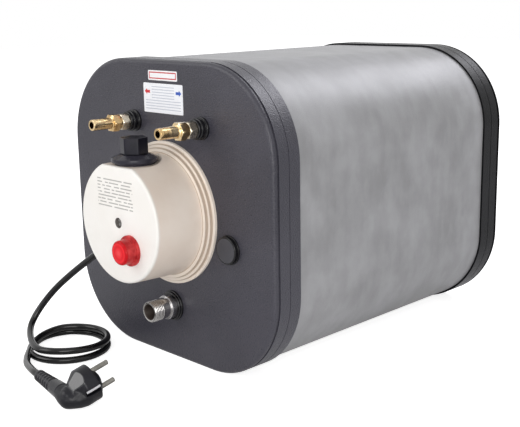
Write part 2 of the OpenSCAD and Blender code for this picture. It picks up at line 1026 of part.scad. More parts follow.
module heater_flange() {
    color([0.72, 0.72, 0.74])
        on_heater()
            difference() {
                rod(flange_r, gasket_top, flange_top);
                bolt_holes(gasket_top, flange_top);
                element_legs()
                    rod(element_r + thread_fit, gasket_top - over, flange_top + over);
                translate([0, -pocket_drop, 0])
                    rod(pocket_r + thread_fit, gasket_top - over, flange_top + over);
            }
}

module flange_bolts() {
    color([0.7, 0.7, 0.72])
        on_heater()
            bolt_places() {
                hexagon(bolt_head_af, flange_top, flange_top + bolt_head_h);
                rod(bolt_r, rim_top - rim_h, flange_top);
            }
}

module heating_element() {
    bend_u = gasket_top - element_l;
    color([0.45, 0.42, 0.4])
        on_heater() {
            element_legs() {
                rod(element_r, bend_u + bead_inset, element_end);
                rod(terminal_r, element_end, element_end + terminal_l);
                translate([0, 0, bend_u])
                    sphere(r = element_r + bead_proud);
            }
            translate([0, element_rise, bend_u - bead_inset])
                rotate([-90, 0, 0])
                    rotate_extrude(angle = 180)
                        translate([element_spread, 0])
                            circle(r = element_r);
        }
}

module sensor_pocket() {
    color([0.76, 0.76, 0.78])
        on_heater()
            translate([0, -pocket_drop, 0])
                difference() {
                    union() {
                        rod(pocket_r, gasket_top - pocket_l, flange_top);
                        rod(pocket_collar_r, flange_top, flange_top + pocket_collar_h);
                    }
                    rod(pocket_r - tank_wall, gasket_top - pocket_l + tank_wall,
                        flange_top + pocket_collar_h + over);
                }
}

module bracket_pillars() {
    color([0.8, 0.8, 0.82])
        on_heater()
            for (x = [-1, 1])
                translate([x * pillar_x, pillar_y, 0])
                    rod(pillar_r, flange_top, bracket_under);
}

module inner_bracket() {
    color([0.77, 0.78, 0.8])
        on_heater()
            difference() {
                translate([-bracket_half_w, bracket_low, bracket_under])
                    cube([2 * bracket_half_w, bracket_high - bracket_low, bracket_h]);
                translate([0, -pocket_drop, 0])
                    rod(pocket_collar_r, bracket_under - over, bracket_top + over);
            }
}

module on_thermostat() {
    on_heater()
        translate([stat_corner.x, stat_corner.y, bracket_top])
            children();
}

module at_spindle() {
    translate([stat_size.x / 2, stat_size.y / 2, stat_size.z])
        children();
}

module thermostat_body() {
    color([0.2, 0.2, 0.22])
        on_thermostat()
            difference() {
                union() {
                    cube(stat_size);
                    at_spindle()
                        rod(stat_boss_r, -over, stat_boss_h);
                }
                at_spindle()
                    rod(spindle_r + thread_fit, -spindle_in - turn_gap, stat_boss_h + over);
            }
}

module thermostat_spindle() {
    spindle_end = stat_boss_h + spindle_out;
    color([0.85, 0.84, 0.8])
        on_thermostat()
            at_spindle()
                difference() {
                    rod(spindle_r, -spindle_in, spindle_end);
                    translate([-spindle_r, -slot_w / 2, spindle_end - slot_d])
                        cube([2 * spindle_r, slot_w, slot_d + over]);
                }
}

module on_block() {
    on_heater()
        translate([block_corner.x, block_corner.y, bracket_top])
            children();
}

module block_ways_at() {
    for (i = [0:block_ways - 1], y = [1, 3])
        translate([block_size.x * (i + 0.5) / block_ways, block_size.y * y / 4, block_size.z])
            children();
}

module terminal_block() {
    color([0.9, 0.9, 0.88])
        on_block()
            difference() {
                cube(block_size);
                block_ways_at()
                    rod(way_r, -way_d, over);
            }
}

module terminal_screws() {
    color([0.78, 0.72, 0.5])
        on_block()
            block_ways_at()
                rod(way_r - fit, -way_d, way_screw_h - way_d);
}

module cutout_body() {
    color([0.18, 0.18, 0.2])
        on_flat()
            difference() {
                union() {
                    rod(cutout_r, -cover_wall - cutout_h, -cover_wall);
                    rod(neck_thread_r, -cover_wall - over, reset_neck_h);
                }
                rod(button_r + button_gap, button_well, reset_neck_h + over);
            }
}

module cutout_nut() {
    color([0.13, 0.13, 0.14])
        on_flat()
            difference() {
                union() {
                    rod(reset_nut_r, 0, nut_rim_h);
                    translate([0, 0, nut_rim_h])
                        cylinder(r1 = reset_nut_r, r2 = reset_nut_r - nut_taper, h = reset_nut_h - nut_rim_h);
                }
                rod(neck_thread_r + thread_fit, -over, reset_nut_h + over);
            }
}

module reset_button() {
    color([0.8, 0.15, 0.12])
        on_flat()
            rod(button_r, button_foot, reset_neck_h + button_proud);
}

module reset_cap() {
    base = reset_nut_h + turn_gap;
    color([0.14, 0.14, 0.15])
        on_flat()
            difference() {
                rotate([0, 0, cap_turn])
                    hexagon(reset_cap_af, base, base + reset_cap_h);
                rod(neck_thread_r + turn_gap, base - over, base + reset_cap_h - cap_top_wall);
            }
}

// Lamp

module on_lamp() {
    on_heater()
        translate([lamp_x, lamp_y, 0])
            children();
}

module lamp_lens() {
    color([0.85, 0.1, 0.12, 0.8])
        on_lamp()
            difference() {
                union() {
                    translate([0, 0, cover_depth])
                        rotate_extrude()
                            rounded_half(lens_r, lens_h, lens_edge_r);
                    rod(lamp_flange_r, cover_depth, cover_depth + lamp_flange_h);
                }
                rod(lens_r - lens_wall, cover_depth - over, cover_depth + lens_h - lens_wall);
            }
}

module lamp_body() {
    color([0.1, 0.1, 0.1])
        on_lamp() {
            rod(lamp_neck_r, lamp_back, cover_depth);
            rod(lamp_seat_r, cover_depth, cover_depth + lamp_seat_h);
        }
}

module lamp_nut() {
    color([0.15, 0.15, 0.15])
        on_lamp()
            hex_nut(lamp_nut_af, lamp_neck_r + thread_fit, face_in - lamp_nut_h, face_in);
}

module neon_bulb() {
    bulb_u = cover_depth + lamp_seat_h;
    color([1, 0.6, 0.4])
        on_lamp() {
            rod(neon_r, bulb_u, bulb_u + neon_h);
            translate([0, 0, bulb_u + neon_h])
                sphere(r = neon_r);
        }
}

// Cord gland

module cord_gland_body() {
    hex_end = gland_seat_out + gland_hex_h;
    color([0.12, 0.12, 0.12])
        along_gland()
            difference() {
                union() {
                    rod(gland_thread_r, gland_seat_in - gland_lock_h - over, gland_seat_out);
                    hexagon(gland_hex_af, gland_seat_out, hex_end);
                    rod(gland_collar_r, hex_end, hex_end + gland_collar_h);
                }
                rod(gland_bore_r, gland_seat_in - gland_lock_h - 2 * over, gland_end);
            }
}

module cord_gland_nut() {
    hex_end = gland_seat_out + gland_hex_h;
    taper_u = hex_end + gland_nut_straight;
    color([0.1, 0.1, 0.1])
        along_gland()
            difference() {
                union() {
                    rod(gland_nut_r, hex_end, taper_u);
                    translate([0, 0, taper_u])
                        cylinder(r1 = gland_nut_r, r2 = gland_nut_tip_r, h = gland_end - taper_u);
                }
                rod(gland_collar_r + thread_fit, hex_end - over, hex_end + gland_collar_h + fit);
                rod(gland_bore_r, hex_end, gland_end + over);
            }
}

module cord_gland_locknut() {
    color([0.12, 0.12, 0.12])
        along_gland()
            hex_nut(gland_lock_af, gland_thread_r + thread_fit, gland_seat_in - gland_lock_h, gland_seat_in);
}

// Mains lead

module cord_lead() {
    color([0.07, 0.07, 0.07])
        swept_tube(lead_route, cord_r, cord_sides, [0, 1, 0]);
}

module cord_coil() {
    color([0.07, 0.07, 0.07])
        swept_tube(coil_route, cord_r, coil_sides, [0, 0, 1]);
}

module cord_tail() {
    color([0.07, 0.07, 0.07])
        swept_tube(tail_route, cord_r, cord_sides, [0, 0, 1]);
}

module plug_relief() {
    length = relief_root_x - relief_tip_x;
    color([0.12, 0.12, 0.13])
        on_plug()
            translate([relief_root_x, relief_y, 0])
                rotate([0, -90, 0])
                    difference() {
                        cylinder(r1 = relief_root_r, r2 = relief_tip_r, h = length);
                        for (i = [1:relief_ribs])
                            translate([0, 0, length - 2 * i * relief_rib_w])
                                pipe(relief_root_r, relief_tip_r - relief_rib_d, 0, relief_rib_w);
                    }
}

// Disc whose axis runs along the pins, ending at some depth behind the plug's face
module face_disc(r, y, h) {
    translate([0, y, 0])
        rotate([90, 0, 0])
            cylinder(r = r, h = h, $fn = 32);
}

module plug_body() {
    color([0.2, 0.2, 0.22])
        on_plug()
            difference() {
                union() {
                    face_disc(plug_face_r, 0, plug_disc_h);
                    hull() {
                        face_disc(plug_face_r, -plug_disc_h, over);
                        face_disc(plug_waist_r, plug_waist_y, over);
                    }
                    hull() {
                        face_disc(plug_waist_r, plug_waist_y, over);
                        translate([0, plug_elbow_y, -plug_elbow_drop])
                            sphere(r = plug_elbow_r, $fn = 32);
                        translate([relief_root_x, relief_y, 0])
                            rotate([0, 90, 0])
                                cylinder(r = relief_root_r, h = over, $fn = 32);
                    }
                }
                for (side = [-1, 1])
                    clip_block(side);
            }
}

module clip_block(side) {
    outer_x = plug_face_r - clip_inset;
    translate([side > 0 ? outer_x - clip_size.x : -outer_x, -clip_size.y, -clip_size.z / 2])
        cube([clip_size.x + (side > 0 ? over : 0), clip_size.y + over, clip_size.z]);
}

module plug_pins() {
    color([0.75, 0.75, 0.74])
        on_plug()
            for (side = [-1, 1])
                translate([0, 0, side * pin_pitch / 2])
                    rotate([-90, 0, 0])
                        rotate_extrude()
                            rounded_half(pin_r, pin_l, pin_tip_r);
}

module plug_earth_clips() {
    outer_x = plug_face_r - clip_inset;
    color([0.78, 0.78, 0.76])
        on_plug()
            for (side = [-1, 1])
                translate([side * (outer_x - clip_size.x / 2), -clip_size.y / 2, 0])
                    cube(clip_size, center = true);
}

outer_casing();
front_cap();
rear_cap();
insulation_upper();
insulation_lower();
tank();
tank_neck();
hot_pipe();
cold_pipe();
hot_grommet();
cold_grommet();
hot_locknut();
cold_locknut();
hot_hose_tail();
cold_hose_tail();
threaded_nipple();
nipple_collar();
nipple_grommet();
blanking_plug();
base_ring();
heater_cover();
cover_screw();
centre_pillar();
flange_gasket();
heater_flange();
flange_bolts();
heating_element();
sensor_pocket();
bracket_pillars();
inner_bracket();
thermostat_body();
thermostat_spindle();
terminal_block();
terminal_screws();
cutout_body();
cutout_nut();
reset_button();
reset_cap();
lamp_lens();
lamp_body();
lamp_nut();
neon_bulb();
cord_gland_body();
cord_gland_nut();
cord_gland_locknut();
cord_lead();
cord_coil();
cord_tail();
plug_relief();
plug_body();
plug_pins();
plug_earth_clips();
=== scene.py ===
import json
from math import atan2, cos, pi, radians, sin, sqrt, tan, tau
import bmesh
import bpy
from mathutils import Matrix, Vector


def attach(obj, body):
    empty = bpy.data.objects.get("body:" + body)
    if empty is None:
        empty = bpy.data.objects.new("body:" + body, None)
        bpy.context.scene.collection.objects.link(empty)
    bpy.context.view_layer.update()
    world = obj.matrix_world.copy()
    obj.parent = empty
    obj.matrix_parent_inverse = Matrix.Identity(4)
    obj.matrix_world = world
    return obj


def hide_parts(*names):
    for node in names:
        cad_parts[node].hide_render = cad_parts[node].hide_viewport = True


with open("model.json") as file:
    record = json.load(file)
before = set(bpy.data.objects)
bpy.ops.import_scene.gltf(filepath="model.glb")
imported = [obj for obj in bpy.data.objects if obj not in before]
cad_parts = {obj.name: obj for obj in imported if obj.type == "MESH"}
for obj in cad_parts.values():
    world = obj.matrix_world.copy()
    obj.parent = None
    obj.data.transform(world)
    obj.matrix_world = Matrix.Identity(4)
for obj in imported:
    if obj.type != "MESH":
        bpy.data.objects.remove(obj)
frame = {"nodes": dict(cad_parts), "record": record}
nodes = frame["nodes"]
scene = bpy.context.scene
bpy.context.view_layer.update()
print("frame loaded with", len(nodes), "nodes")

# shared places, in millimetres: u runs out of the front panel, towards -Y
mm = Matrix.Scale(0.001, 4)
frontY = -147.25
heaterX, heaterZ = 4.0, 151.3


def outward(x, z, u=0.0):
    return mm @ Matrix(((1, 0, 0, x), (0, 0, -1, frontY - u), (0, 1, 0, z), (0, 0, 0, 1)))


def rotated(degrees, axis):
    return Matrix.Rotation(radians(degrees), 4, axis)


def tint(red, green, blue):
    def straight(level):
        level /= 255.0
        return level / 12.92 if level <= 0.04045 else ((level + 0.055) / 1.055) ** 2.4
    return straight(red), straight(green), straight(blue), 1.0


def eased(share):
    share = min(max(share, 0.0), 1.0)
    return share * share * (3 - 2 * share)


# shader wiring: an operator and its reflected form
def paired(operation):
    return (lambda self, other: self.math(operation, self, other),
            lambda self, other: self.math(operation, other, self))


class Wire:
    def __init__(self, tree, socket=None):
        self.tree = tree
        self.socket = socket

    def join(self, value, socket):
        if isinstance(value, Wire):
            self.tree.links.new(value.socket, socket)
        else:
            socket.default_value = value

    def add(self, kind, settings=None, inputs=None, out=0):
        made = self.tree.nodes.new("ShaderNode" + kind)
        for key, value in (settings or {}).items():
            setattr(made, key, value)
        for key, value in (inputs or {}).items():
            self.join(value, made.inputs[key])
        return Wire(self.tree, made.outputs[out])

    def math(self, operation, first, second=0.0):
        return self.add("Math", {"operation": operation}, {0: first, 1: second})

    __add__, __radd__ = paired("ADD")
    __sub__, __rsub__ = paired("SUBTRACT")
    __mul__, __rmul__ = paired("MULTIPLY")
    __truediv__, __rtruediv__ = paired("DIVIDE")

    def __abs__(self):
        return self.math("ABSOLUTE", self)

    def place(self):
        return self.add("TexCoord", out="Object")

    def stretch(self, spot, x, y, z):
        return self.add("VectorMath", {"operation": "MULTIPLY"}, {0: spot, 1: (x, y, z)})

    def axis(self, spot, which):
        return self.add("SeparateXYZ", inputs={0: spot}, out=which)

    def noise(self, spot, scale, detail=2.0):
        return self.add("TexNoise", inputs={"Vector": spot, "Scale": scale, "Detail": detail})

    def ramp(self, value, low, high, first=0.0, last=1.0):
        return self.add("MapRange", {"interpolation_type": "SMOOTHSTEP"},
            {"Value": value, "From Min": low, "From Max": high, "To Min": first, "To Max": last})

    def cloud(self, spot, scale, high=0.7):
        return self.ramp(self.noise(spot, scale, 4.0), 0.3, high)

    def mix(self, factor, first, second):
        return self.add("Mix", {"data_type": "RGBA"}, {0: factor, 6: first, 7: second}, 2)

    def bump(self, height, distance):
        return self.add("Bump", inputs={"Height": height, "Distance": distance})


def material(name, recipe):
    made = bpy.data.materials.new(name)
    made.use_nodes = True
    pen = Wire(made.node_tree)
    shader = made.node_tree.nodes["Principled BSDF"]
    for socket, value in recipe(pen).items():
        pen.join(value, shader.inputs[socket])
    return made


# moulded plastic or rubber: two close shades in soft clouds, a fine grain and an uneven gloss
def moulded(name, finish):
    def recipe(pen):
        spot = pen.place()
        cloud = pen.cloud(spot, finish["cloud"])
        grain = pen.noise(spot, finish["grain"], 1.5)
        speck = finish["speck"]
        tone = cloud + speck * 4 * (grain - 0.5) if speck else cloud
        return {"Base Color": pen.mix(tone, *(tint(*shade) for shade in finish["shades"])),
                "Roughness": finish["rough"] + finish["roughSpan"] * (grain - 0.5),
                "Specular IOR Level": finish["shine"],
                "Normal": pen.bump(grain, finish["depth"])}
    return material(name, recipe)


# turned or drawn metal: fine lines round the piece, dulled in patches
def metal(name, finish):
    def recipe(pen):
        spot = pen.place()
        lines = pen.noise(pen.stretch(spot, *finish["lines"]), 60.0, 3.0)
        cloud = pen.cloud(spot, finish["cloud"], 0.72)
        return {"Base Color": pen.mix(cloud, *(tint(*shade) for shade in finish["shades"])),
                "Metallic": 1.0,
                "Roughness": finish["rough"] + 0.08 * cloud + 0.1 * (lines - 0.5),
                "Normal": pen.bump(lines, 0.1 * finish["depth"])}
    return material(name, recipe)


def onFront(pen, spot):
    return pen.axis(spot, 0) * 1000.0, pen.axis(spot, 2) * 1000.0


# how far a point stands from an axis along Y, in millimetres, and its angle round it
def offAxis(pen, spot, x, z):
    across, above = onFront(pen, spot)
    across, above = across - x, above - z
    return pen.math("SQRT", across * across + above * above), pen.math("ARCTAN2", above, across)


# from 0 to 1 between two distances out of the front panel
def outFrom(pen, spot, low, high):
    return pen.ramp(pen.axis(spot, 1), 0.001 * (frontY - low), 0.001 * (frontY - high))


def banded(pen, value, low, high, soft):
    return pen.ramp(value, low - soft, low + soft) * (1 - pen.ramp(value, high - soft, high + soft))


# a block on the front, and the ruled lines that fill it from below
def boxed(pen, x, z, block, soft=0.3):
    return banded(pen, x, *block["x"], soft) * banded(pen, z, *block["z"], 0.2)


def ruled(pen, z, block):
    off = abs(pen.math("FRACT", (z - block["z"][0]) / block["pitch"]) - 0.5)
    return pen.ramp(off, block["half"] * 0.6, block["half"], 1.0, 0.0)


# mesh tools
def shaped(name, verts, faces, place):
    mesh = bpy.data.meshes.new(name)
    mesh.from_pydata([place @ Vector(v) for v in verts], [], faces)
    soft = bmesh.new()
    soft.from_mesh(mesh)
    bmesh.ops.recalc_face_normals(soft, faces=soft.faces)
    soft.to_mesh(mesh)
    soft.free()
    return mesh


def smoothed(mesh, sharp):
    mesh.polygons.foreach_set("use_smooth", [True] * len(mesh.polygons))
    mesh.set_sharp_from_angle(angle=radians(sharp))
    return mesh


def placed(name, data):
    made = bpy.data.objects.new(name, data)
    scene.collection.objects.link(made)
    return made


def mounted(name, data, look, body="heater"):
    made = placed(name, data)
    data.materials.append(look)
    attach(made, body)
    return made


def finished(name, verts, faces, place, look, body="heater", sharp=32.0):
    return mounted(name, smoothed(shaped(name, verts, faces, place), sharp), look, body)


# hides the CAD nodes whose place a piece takes
def stands(piece, slot, *cadNodes):
    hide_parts(*cadNodes)


# rings of (height, radius or function of the angle); a zero radius is a pole
def loft(rings, loop=False, turns=96):
    verts, rows, faces = [], [], []
    for height, radius in rings:
        if radius == 0:
            rows.append([len(verts)])
            verts.append((0.0, 0.0, height))
            continue
        row = []
        for k in range(turns):
            angle = tau * k / turns
            reach = radius(angle) if callable(radius) else radius
            row.append(len(verts))
            verts.append((reach * cos(angle), reach * sin(angle), height))
        rows.append(row)
    pairs = list(zip(rows, rows[1:])) + ([(rows[-1], rows[0])] if loop else [])
    for low, high in pairs:
        for k in range(turns):
            n = (k + 1) % turns
            if len(low) == 1:
                faces.append((low[0], high[n], high[k]))
            elif len(high) == 1:
                faces.append((low[k], low[n], high[0]))
            else:
                faces.append((low[k], low[n], high[n], high[k]))
    return verts, faces


# corners of (radius, height, rounding) made into rings with the corners rounded
def softened(corners, loop=True, steps=5):
    rings = []
    for k, (r, z, soft) in enumerate(corners):
        here = Vector((r, z))
        if soft <= 0 or (not loop and k in (0, len(corners) - 1)):
            rings.append((z, r))
            continue
        back = Vector(corners[k - 1][:2]) - here
        onward = Vector(corners[(k + 1) % len(corners)][:2]) - here
        half = back.angle(onward) / 2
        run = min(soft / tan(half), 0.45 * back.length, 0.45 * onward.length)
        round_ = run * tan(half)
        back.normalize()
        onward.normalize()
        centre = here + (back + onward).normalized() * round_ / sin(half)
        first = here + back * run - centre
        last = here + onward * run - centre
        start = atan2(first.y, first.x)
        sweep = (atan2(last.y, last.x) - start + pi) % tau - pi
        for s in range(steps + 1):
            at = start + sweep * s / steps
            rings.append((centre.y + round_ * sin(at), centre.x + round_ * cos(at)))
    return rings


def lofted(name, rings, place, look, loop=True, turns=96, **more):
    return finished(name, *loft(rings, loop, turns), place, look, **more)


def turned(name, corners, place, look, loop=True, turns=96):
    return lofted(name, softened(corners, loop), place, look, loop, turns)


# radius of a polygon with flats, its edges kept inside a limit radius
def flats(count, across, limit, turn=0.0):
    def reach(angle):
        part = tau / count
        off = (angle - turn + part / 2) % part - part / 2
        return min(across / 2 / cos(off), limit)
    return reach


# a six-sided length with its corners turned back at both ends
def sixSided(across, low, high, back=1.1):
    corner = across / 2 / cos(pi / 6)
    return [(height, flats(6, across, limit, pi / 6)) for height, limit in (
        (low, across / 2 - 0.2), (low + back * 0.5, (across / 2 + corner) / 2), (low + back, corner),
        (high - back, corner), (high - back * 0.5, (across / 2 + corner) / 2), (high, across / 2 - 0.2))]


print("tools ready")

# looks shared by several pieces
plasticBase = {"cloud": 60, "grain": 1500, "roughSpan": 0.1, "depth": 0.00004, "shine": 0.5, "speck": 0.0}
plastics = {
    "capCharcoal": {"shades": ((52, 51, 60), (65, 64, 73)), "cloud": 9, "grain": 800, "rough": 0.33,
        "roughSpan": 0.3, "depth": 0.0004, "shine": 0.42, "speck": 0.45},
    "capBlack": {"shades": ((10, 10, 13), (17, 17, 21)), "cloud": 9, "grain": 800, "rough": 0.32,
        "roughSpan": 0.2, "depth": 0.0003, "shine": 0.12, "speck": 0.2},
    "foamWhite": {"shades": ((226, 226, 222), (244, 244, 240)), "grain": 420, "rough": 0.85, "depth": 0.0006},
    "rubberBlack": {"shades": ((13, 13, 16), (21, 21, 25)), "cloud": 70, "rough": 0.14, "shine": 0.45},
    "trimBlack": {"shades": ((42, 41, 50), (54, 53, 63)), "grain": 1400, "rough": 0.24, "roughSpan": 0.14,
        "depth": 0.00005, "shine": 0.25},
    "capGloss": {"shades": ((18, 18, 26), (27, 26, 36)), "cloud": 70, "rough": 0.3, "shine": 0.2},
    "ivory": {"shades": ((236, 224, 210), (243, 233, 221)), "cloud": 25, "grain": 1100, "rough": 0.4,
        "roughSpan": 0.15, "depth": 0.00008},
    "white": {"shades": ((232, 232, 230), (243, 243, 241)), "cloud": 40, "grain": 1000, "rough": 0.45,
        "roughSpan": 0.15, "depth": 0.00008},
    "statDark": {"shades": ((34, 32, 31), (48, 45, 43)), "grain": 1200, "rough": 0.5, "roughSpan": 0.15,
        "depth": 0.0001},
    "buttonRed": {"shades": ((178, 26, 30), (196, 34, 38)), "cloud": 90, "grain": 1400, "rough": 0.4,
        "depth": 0.00005},
    "plugCharcoal": {"shades": ((20, 20, 26), (31, 31, 38)), "grain": 900, "rough": 0.2, "roughSpan": 0.16,
        "depth": 0.00006, "shine": 0.3, "speck": 0.4},
    "cordBlack": {"shades": ((9, 9, 11), (16, 16, 18)), "cloud": 40, "grain": 900, "rough": 0.15, "shine": 0.36},
    "arrowRed": {"shades": ((196, 40, 46), (208, 52, 58)), "cloud": 200, "rough": 0.4, "depth": 0.00002},
    "arrowBlue": {"shades": ((44, 84, 176), (58, 98, 190)), "cloud": 200, "rough": 0.4, "depth": 0.00002}}
metalBase = {"cloud": 60, "lines": (2, 30, 2), "depth": 0.00001}
metals = {
    "brass": {"shades": ((198, 166, 116), (236, 214, 172)), "rough": 0.13},
    "brassPale": {"shades": ((204, 194, 172), (228, 220, 202)), "rough": 0.22},
    "stainless": {"shades": ((168, 166, 164), (192, 190, 188)), "cloud": 50, "rough": 0.16},
    "tankSteel": {"shades": ((160, 162, 166), (190, 191, 195)), "cloud": 14, "lines": (2, 24, 24),
        "rough": 0.3, "depth": 0.00006},
    "zincSteel": {"shades": ((150, 152, 156), (182, 184, 188)), "cloud": 70, "lines": (12, 12, 12),
        "rough": 0.34, "depth": 0.00005},
    "screwDark": {"shades": ((150, 148, 146), (178, 176, 174)), "cloud": 160, "lines": (20, 2, 20),
        "rough": 0.5, "depth": 0.00004},
    "elementSheath": {"shades": ((112, 104, 96), (146, 138, 130)), "lines": (4, 20, 4), "rough": 0.38,
        "depth": 0.00005},
    "collarGrey": {"shades": ((150, 149, 150), (178, 177, 178)), "rough": 0.2},
    "pinNickel": {"shades": ((122, 120, 114), (146, 144, 138)), "cloud": 120, "lines": (20, 3, 20),
        "rough": 0.26},
    "clipBright": {"shades": ((204, 204, 208), (226, 226, 230)), "cloud": 120, "lines": (20, 3, 20),
        "rough": 0.2, "depth": 0.00002}}
looks = {name: moulded(name, plasticBase | finish) for name, finish in plastics.items()}
looks |= {name: metal(name, metalBase | finish) for name, finish in metals.items()}
print("looks ready")

# cord: down from the gland, two turns on the floor, away to the plug
cord = {"radius": 3.5, "exitTurn": radians(213), "exitU": 36.5, "exitReach": 80, "exitBack": 10, "exitOn": 14,
        "lead": [(-87, -187, 91), (-101, -190, 81), (-118, -195, 67), (-131, -200, 55), (-140, -206, 42),
                 (-145, -213, 31), (-145.8, -220, 21), (-141, -228, 14)],
        "tail": [(-88, -265, 4.5), (-76, -269.8, 5.8), (-62, -275.4, 8)],
        "coilMid": (-92, -210), "coilRadius": 40, "coilFrom": 0.16, "coilTo": 2.17, "coilSteps": 150,
        "lift": 7.8, "dropAt": 0.93, "spreadAt": 1.70, "crossing": 0.23,
        "spring": 2.2, "springAt": 0.375, "springFade": 0.2, "marks": slice(4, -4, 6), "mouthBack": 12, "mouthOn": 2,
        "freeLead": (8, 100), "freeTail": (-58, -8), "easing": 60, "calm": 0.3, "calmEnds": 16}
plug = {"at": (37.2, -269.7, 20.54), "pan": -9.0, "tip": 17.0, "lean": -1.5, "mouth": (-65.0, -26.5, 0)}
plugPlace = (Matrix.Translation(plug["at"]) @ rotated(plug["pan"], "Z") @ rotated(plug["tip"], "X")
             @ rotated(plug["lean"], "Y"))


def coilSpot(t):
    reach = cord["coilRadius"] + cord["lift"] * eased((t - cord["spreadAt"]) / cord["crossing"])
    height = cord["radius"] + cord["lift"] * (1 - eased((t - cord["dropAt"]) / cord["crossing"]))
    if t < 1:  # the upper turn springs up a little in front
        wave = max(cos(tau * (t - cord["springAt"])), 0) ** 2
        height += cord["spring"] * wave * eased((cord["dropAt"] - t) / cord["springFade"])
    midX, midY = cord["coilMid"]
    return Vector((midX - reach * cos(tau * t), midY - reach * sin(tau * t), height))


# a smooth line through points
def through(points, steps=8):
    points = [2 * points[0] - points[1]] + points + [2 * points[-1] - points[-2]]
    line = []
    for p, q, r, s in zip(points, points[1:], points[2:], points[3:]):
        for k in range(steps):
            t = k / steps
            bend, twist = 2 * p - 5 * q + 4 * r - s, 3 * q - p - 3 * r + s
            line.append(0.5 * (2 * q + (r - p) * t + bend * t * t + twist * t ** 3))
    return line + [points[-2]]


exitWay = Vector((cos(cord["exitTurn"]), 0, sin(cord["exitTurn"])))
exitMouth = Vector((heaterX, frontY - cord["exitU"], heaterZ)) + exitWay * cord["exitReach"]
coilLine = [coilSpot(cord["coilFrom"] + (cord["coilTo"] - cord["coilFrom"]) * k / cord["coilSteps"])
            for k in range(cord["coilSteps"] + 1)]
reliefMouth = plugPlace @ Vector(plug["mouth"])
reliefWay = plugPlace.to_3x3() @ Vector((1, 0, 0))
cordMarks = ([exitMouth - exitWay * cord["exitBack"], exitMouth, exitMouth + exitWay * cord["exitOn"]]
             + [Vector(p) for p in cord["lead"]] + coilLine[cord["marks"]]
             + [Vector(p) for p in cord["tail"]]
             + [reliefMouth - reliefWay * cord["mouthBack"], reliefMouth + reliefWay * cord["mouthOn"]])
cordLine = through(cordMarks)
# the free runs are calmed, less near their ends
for low, high in (cord["freeLead"], [len(cordLine) + k for k in cord["freeTail"]]):
    shares = [eased(min(k, high - low - k) / cord["calmEnds"]) for k in range(high - low)]
    for step in range(cord["easing"]):
        threes = zip(shares, cordLine[low - 1:], cordLine[low:high], cordLine[low + 1:])
        cordLine[low:high] = [b + (a - 2 * b + c) * cord["calm"] * share for share, a, b, c in threes]
for spot in cordLine:
    spot.z = max(spot.z, cord["radius"])
cordLength = sum((b - a).length for a, b in zip(cordLine, cordLine[1:])) / 1000
cordCurve = bpy.data.curves.new("cord", "CURVE")
cordCurve.dimensions = "3D"
cordCurve.bevel_depth = cord["radius"] / 1000
cordCurve.bevel_resolution = 6
cordCurve.use_fill_caps = True
cordSpline = cordCurve.splines.new("POLY")
cordSpline.points.add(len(cordLine) - 1)
for point, spot in zip(cordSpline.points, cordLine):
    point.co = (*(spot / 1000), 1.0)
cordPiece = mounted("cord", cordCurve, looks["cordBlack"])
stands(cordPiece, "cord_black", "cord_lead", "cord_coil", "cord_tail")
print("cord length", round(cordLength, 3))

# heater cover: a drum with a rounded front edge, cut flat on top round the reset nut, its screw in a recess
cover = {"rear": 9, "face": 61.5, "rearRadius": 60.6, "taper": 2, "edge": 2.4, "edgeSteps": 7, "wall": 2.5,
         "ringEvery": 0.75, "faceShares": (0.8, 0.55, 0.3), "innerShare": 0.6,
         "flat": 54, "nutU": 38.5, "pocketFrom": 0.5, "pocketRadius": 24.5, "pocketSoft": 1.4,
         "recess": 5, "recessFloor": 56, "recessWall": 2, "screwHole": 2.2,
         "boss": [(6, 53.5, 0), (11, 53.5, 0), (11, 62.5, 1.2), (6, 62.5, 0)],
         "lines": {"x": (-26, 28), "z": (164.5, 193.3), "pitch": 3.2, "half": 0.22}}


# ivory plastic with a block of plain ruled lines on the cover's face; the drum's side is painted warmer and darker as
# shade
def coverRecipe(pen):
    spot = pen.place()
    face, block = cover["face"], cover["lines"]
    x, z = onFront(pen, spot)
    row = pen.math("FLOOR", (z - block["z"][0]) / block["pitch"])
    breaks = pen.add("TexNoise", {"noise_dimensions": "1D"},
                     {"W": x * 0.16 + row * 7.3, "Scale": 1.0, "Detail": 1.0})
    lines = ruled(pen, z, block) * pen.ramp(breaks, 0.36, 0.44)
    lines = lines * boxed(pen, x, z, block) * outFrom(pen, spot, face - 0.5, face - 0.2)
    cloud = pen.cloud(spot, 25.0)
    grain = pen.noise(spot, 1100.0, 1.5)
    # painted shade: the drum's side takes a warmer, darker copy of the face's ivory
    shade = pen.mix(outFrom(pen, spot, face - 4.5, face - 0.5),
                    pen.mix(cloud, tint(234, 219, 205), tint(241, 229, 217)),
                    pen.mix(cloud, tint(244, 241, 236), tint(248, 246, 242)))
    # painted shade: the walls of the screw's recess are painted near black
    recess = pen.ramp(offAxis(pen, spot, heaterX, heaterZ)[0], cover["recess"] + 0.3, cover["recess"] - 0.1)
    shade = pen.mix(recess * outFrom(pen, spot, face, face - 0.5), shade, tint(44, 40, 38))
    return {"Base Color": pen.mix(0.62 * lines, shade, tint(96, 92, 90)),
            "Roughness": 0.4 + 0.15 * (grain - 0.5),
            "Normal": pen.bump(grain, 0.00008)}


def coverReach(u, inset=0.0):
    plain = cover["rearRadius"] - cover["taper"] * (u - cover["rear"]) / (cover["face"] - cover["rear"])

    def reach(angle):
        if sin(angle) < cover["pocketFrom"]:
            return plain - inset
        behind = max(cover["nutU"] - u, 0.0)
        halfWidth = sqrt(max(cover["pocketRadius"] ** 2 - behind ** 2, 0.0)) if behind else plain
        inPocket = eased((halfWidth - abs(plain * cos(angle))) / cover["pocketSoft"] + 0.5)
        cut = max(plain - cover["flat"] / sin(angle), 0.0)
        return plain - inPocket * cut - inset
    return reach


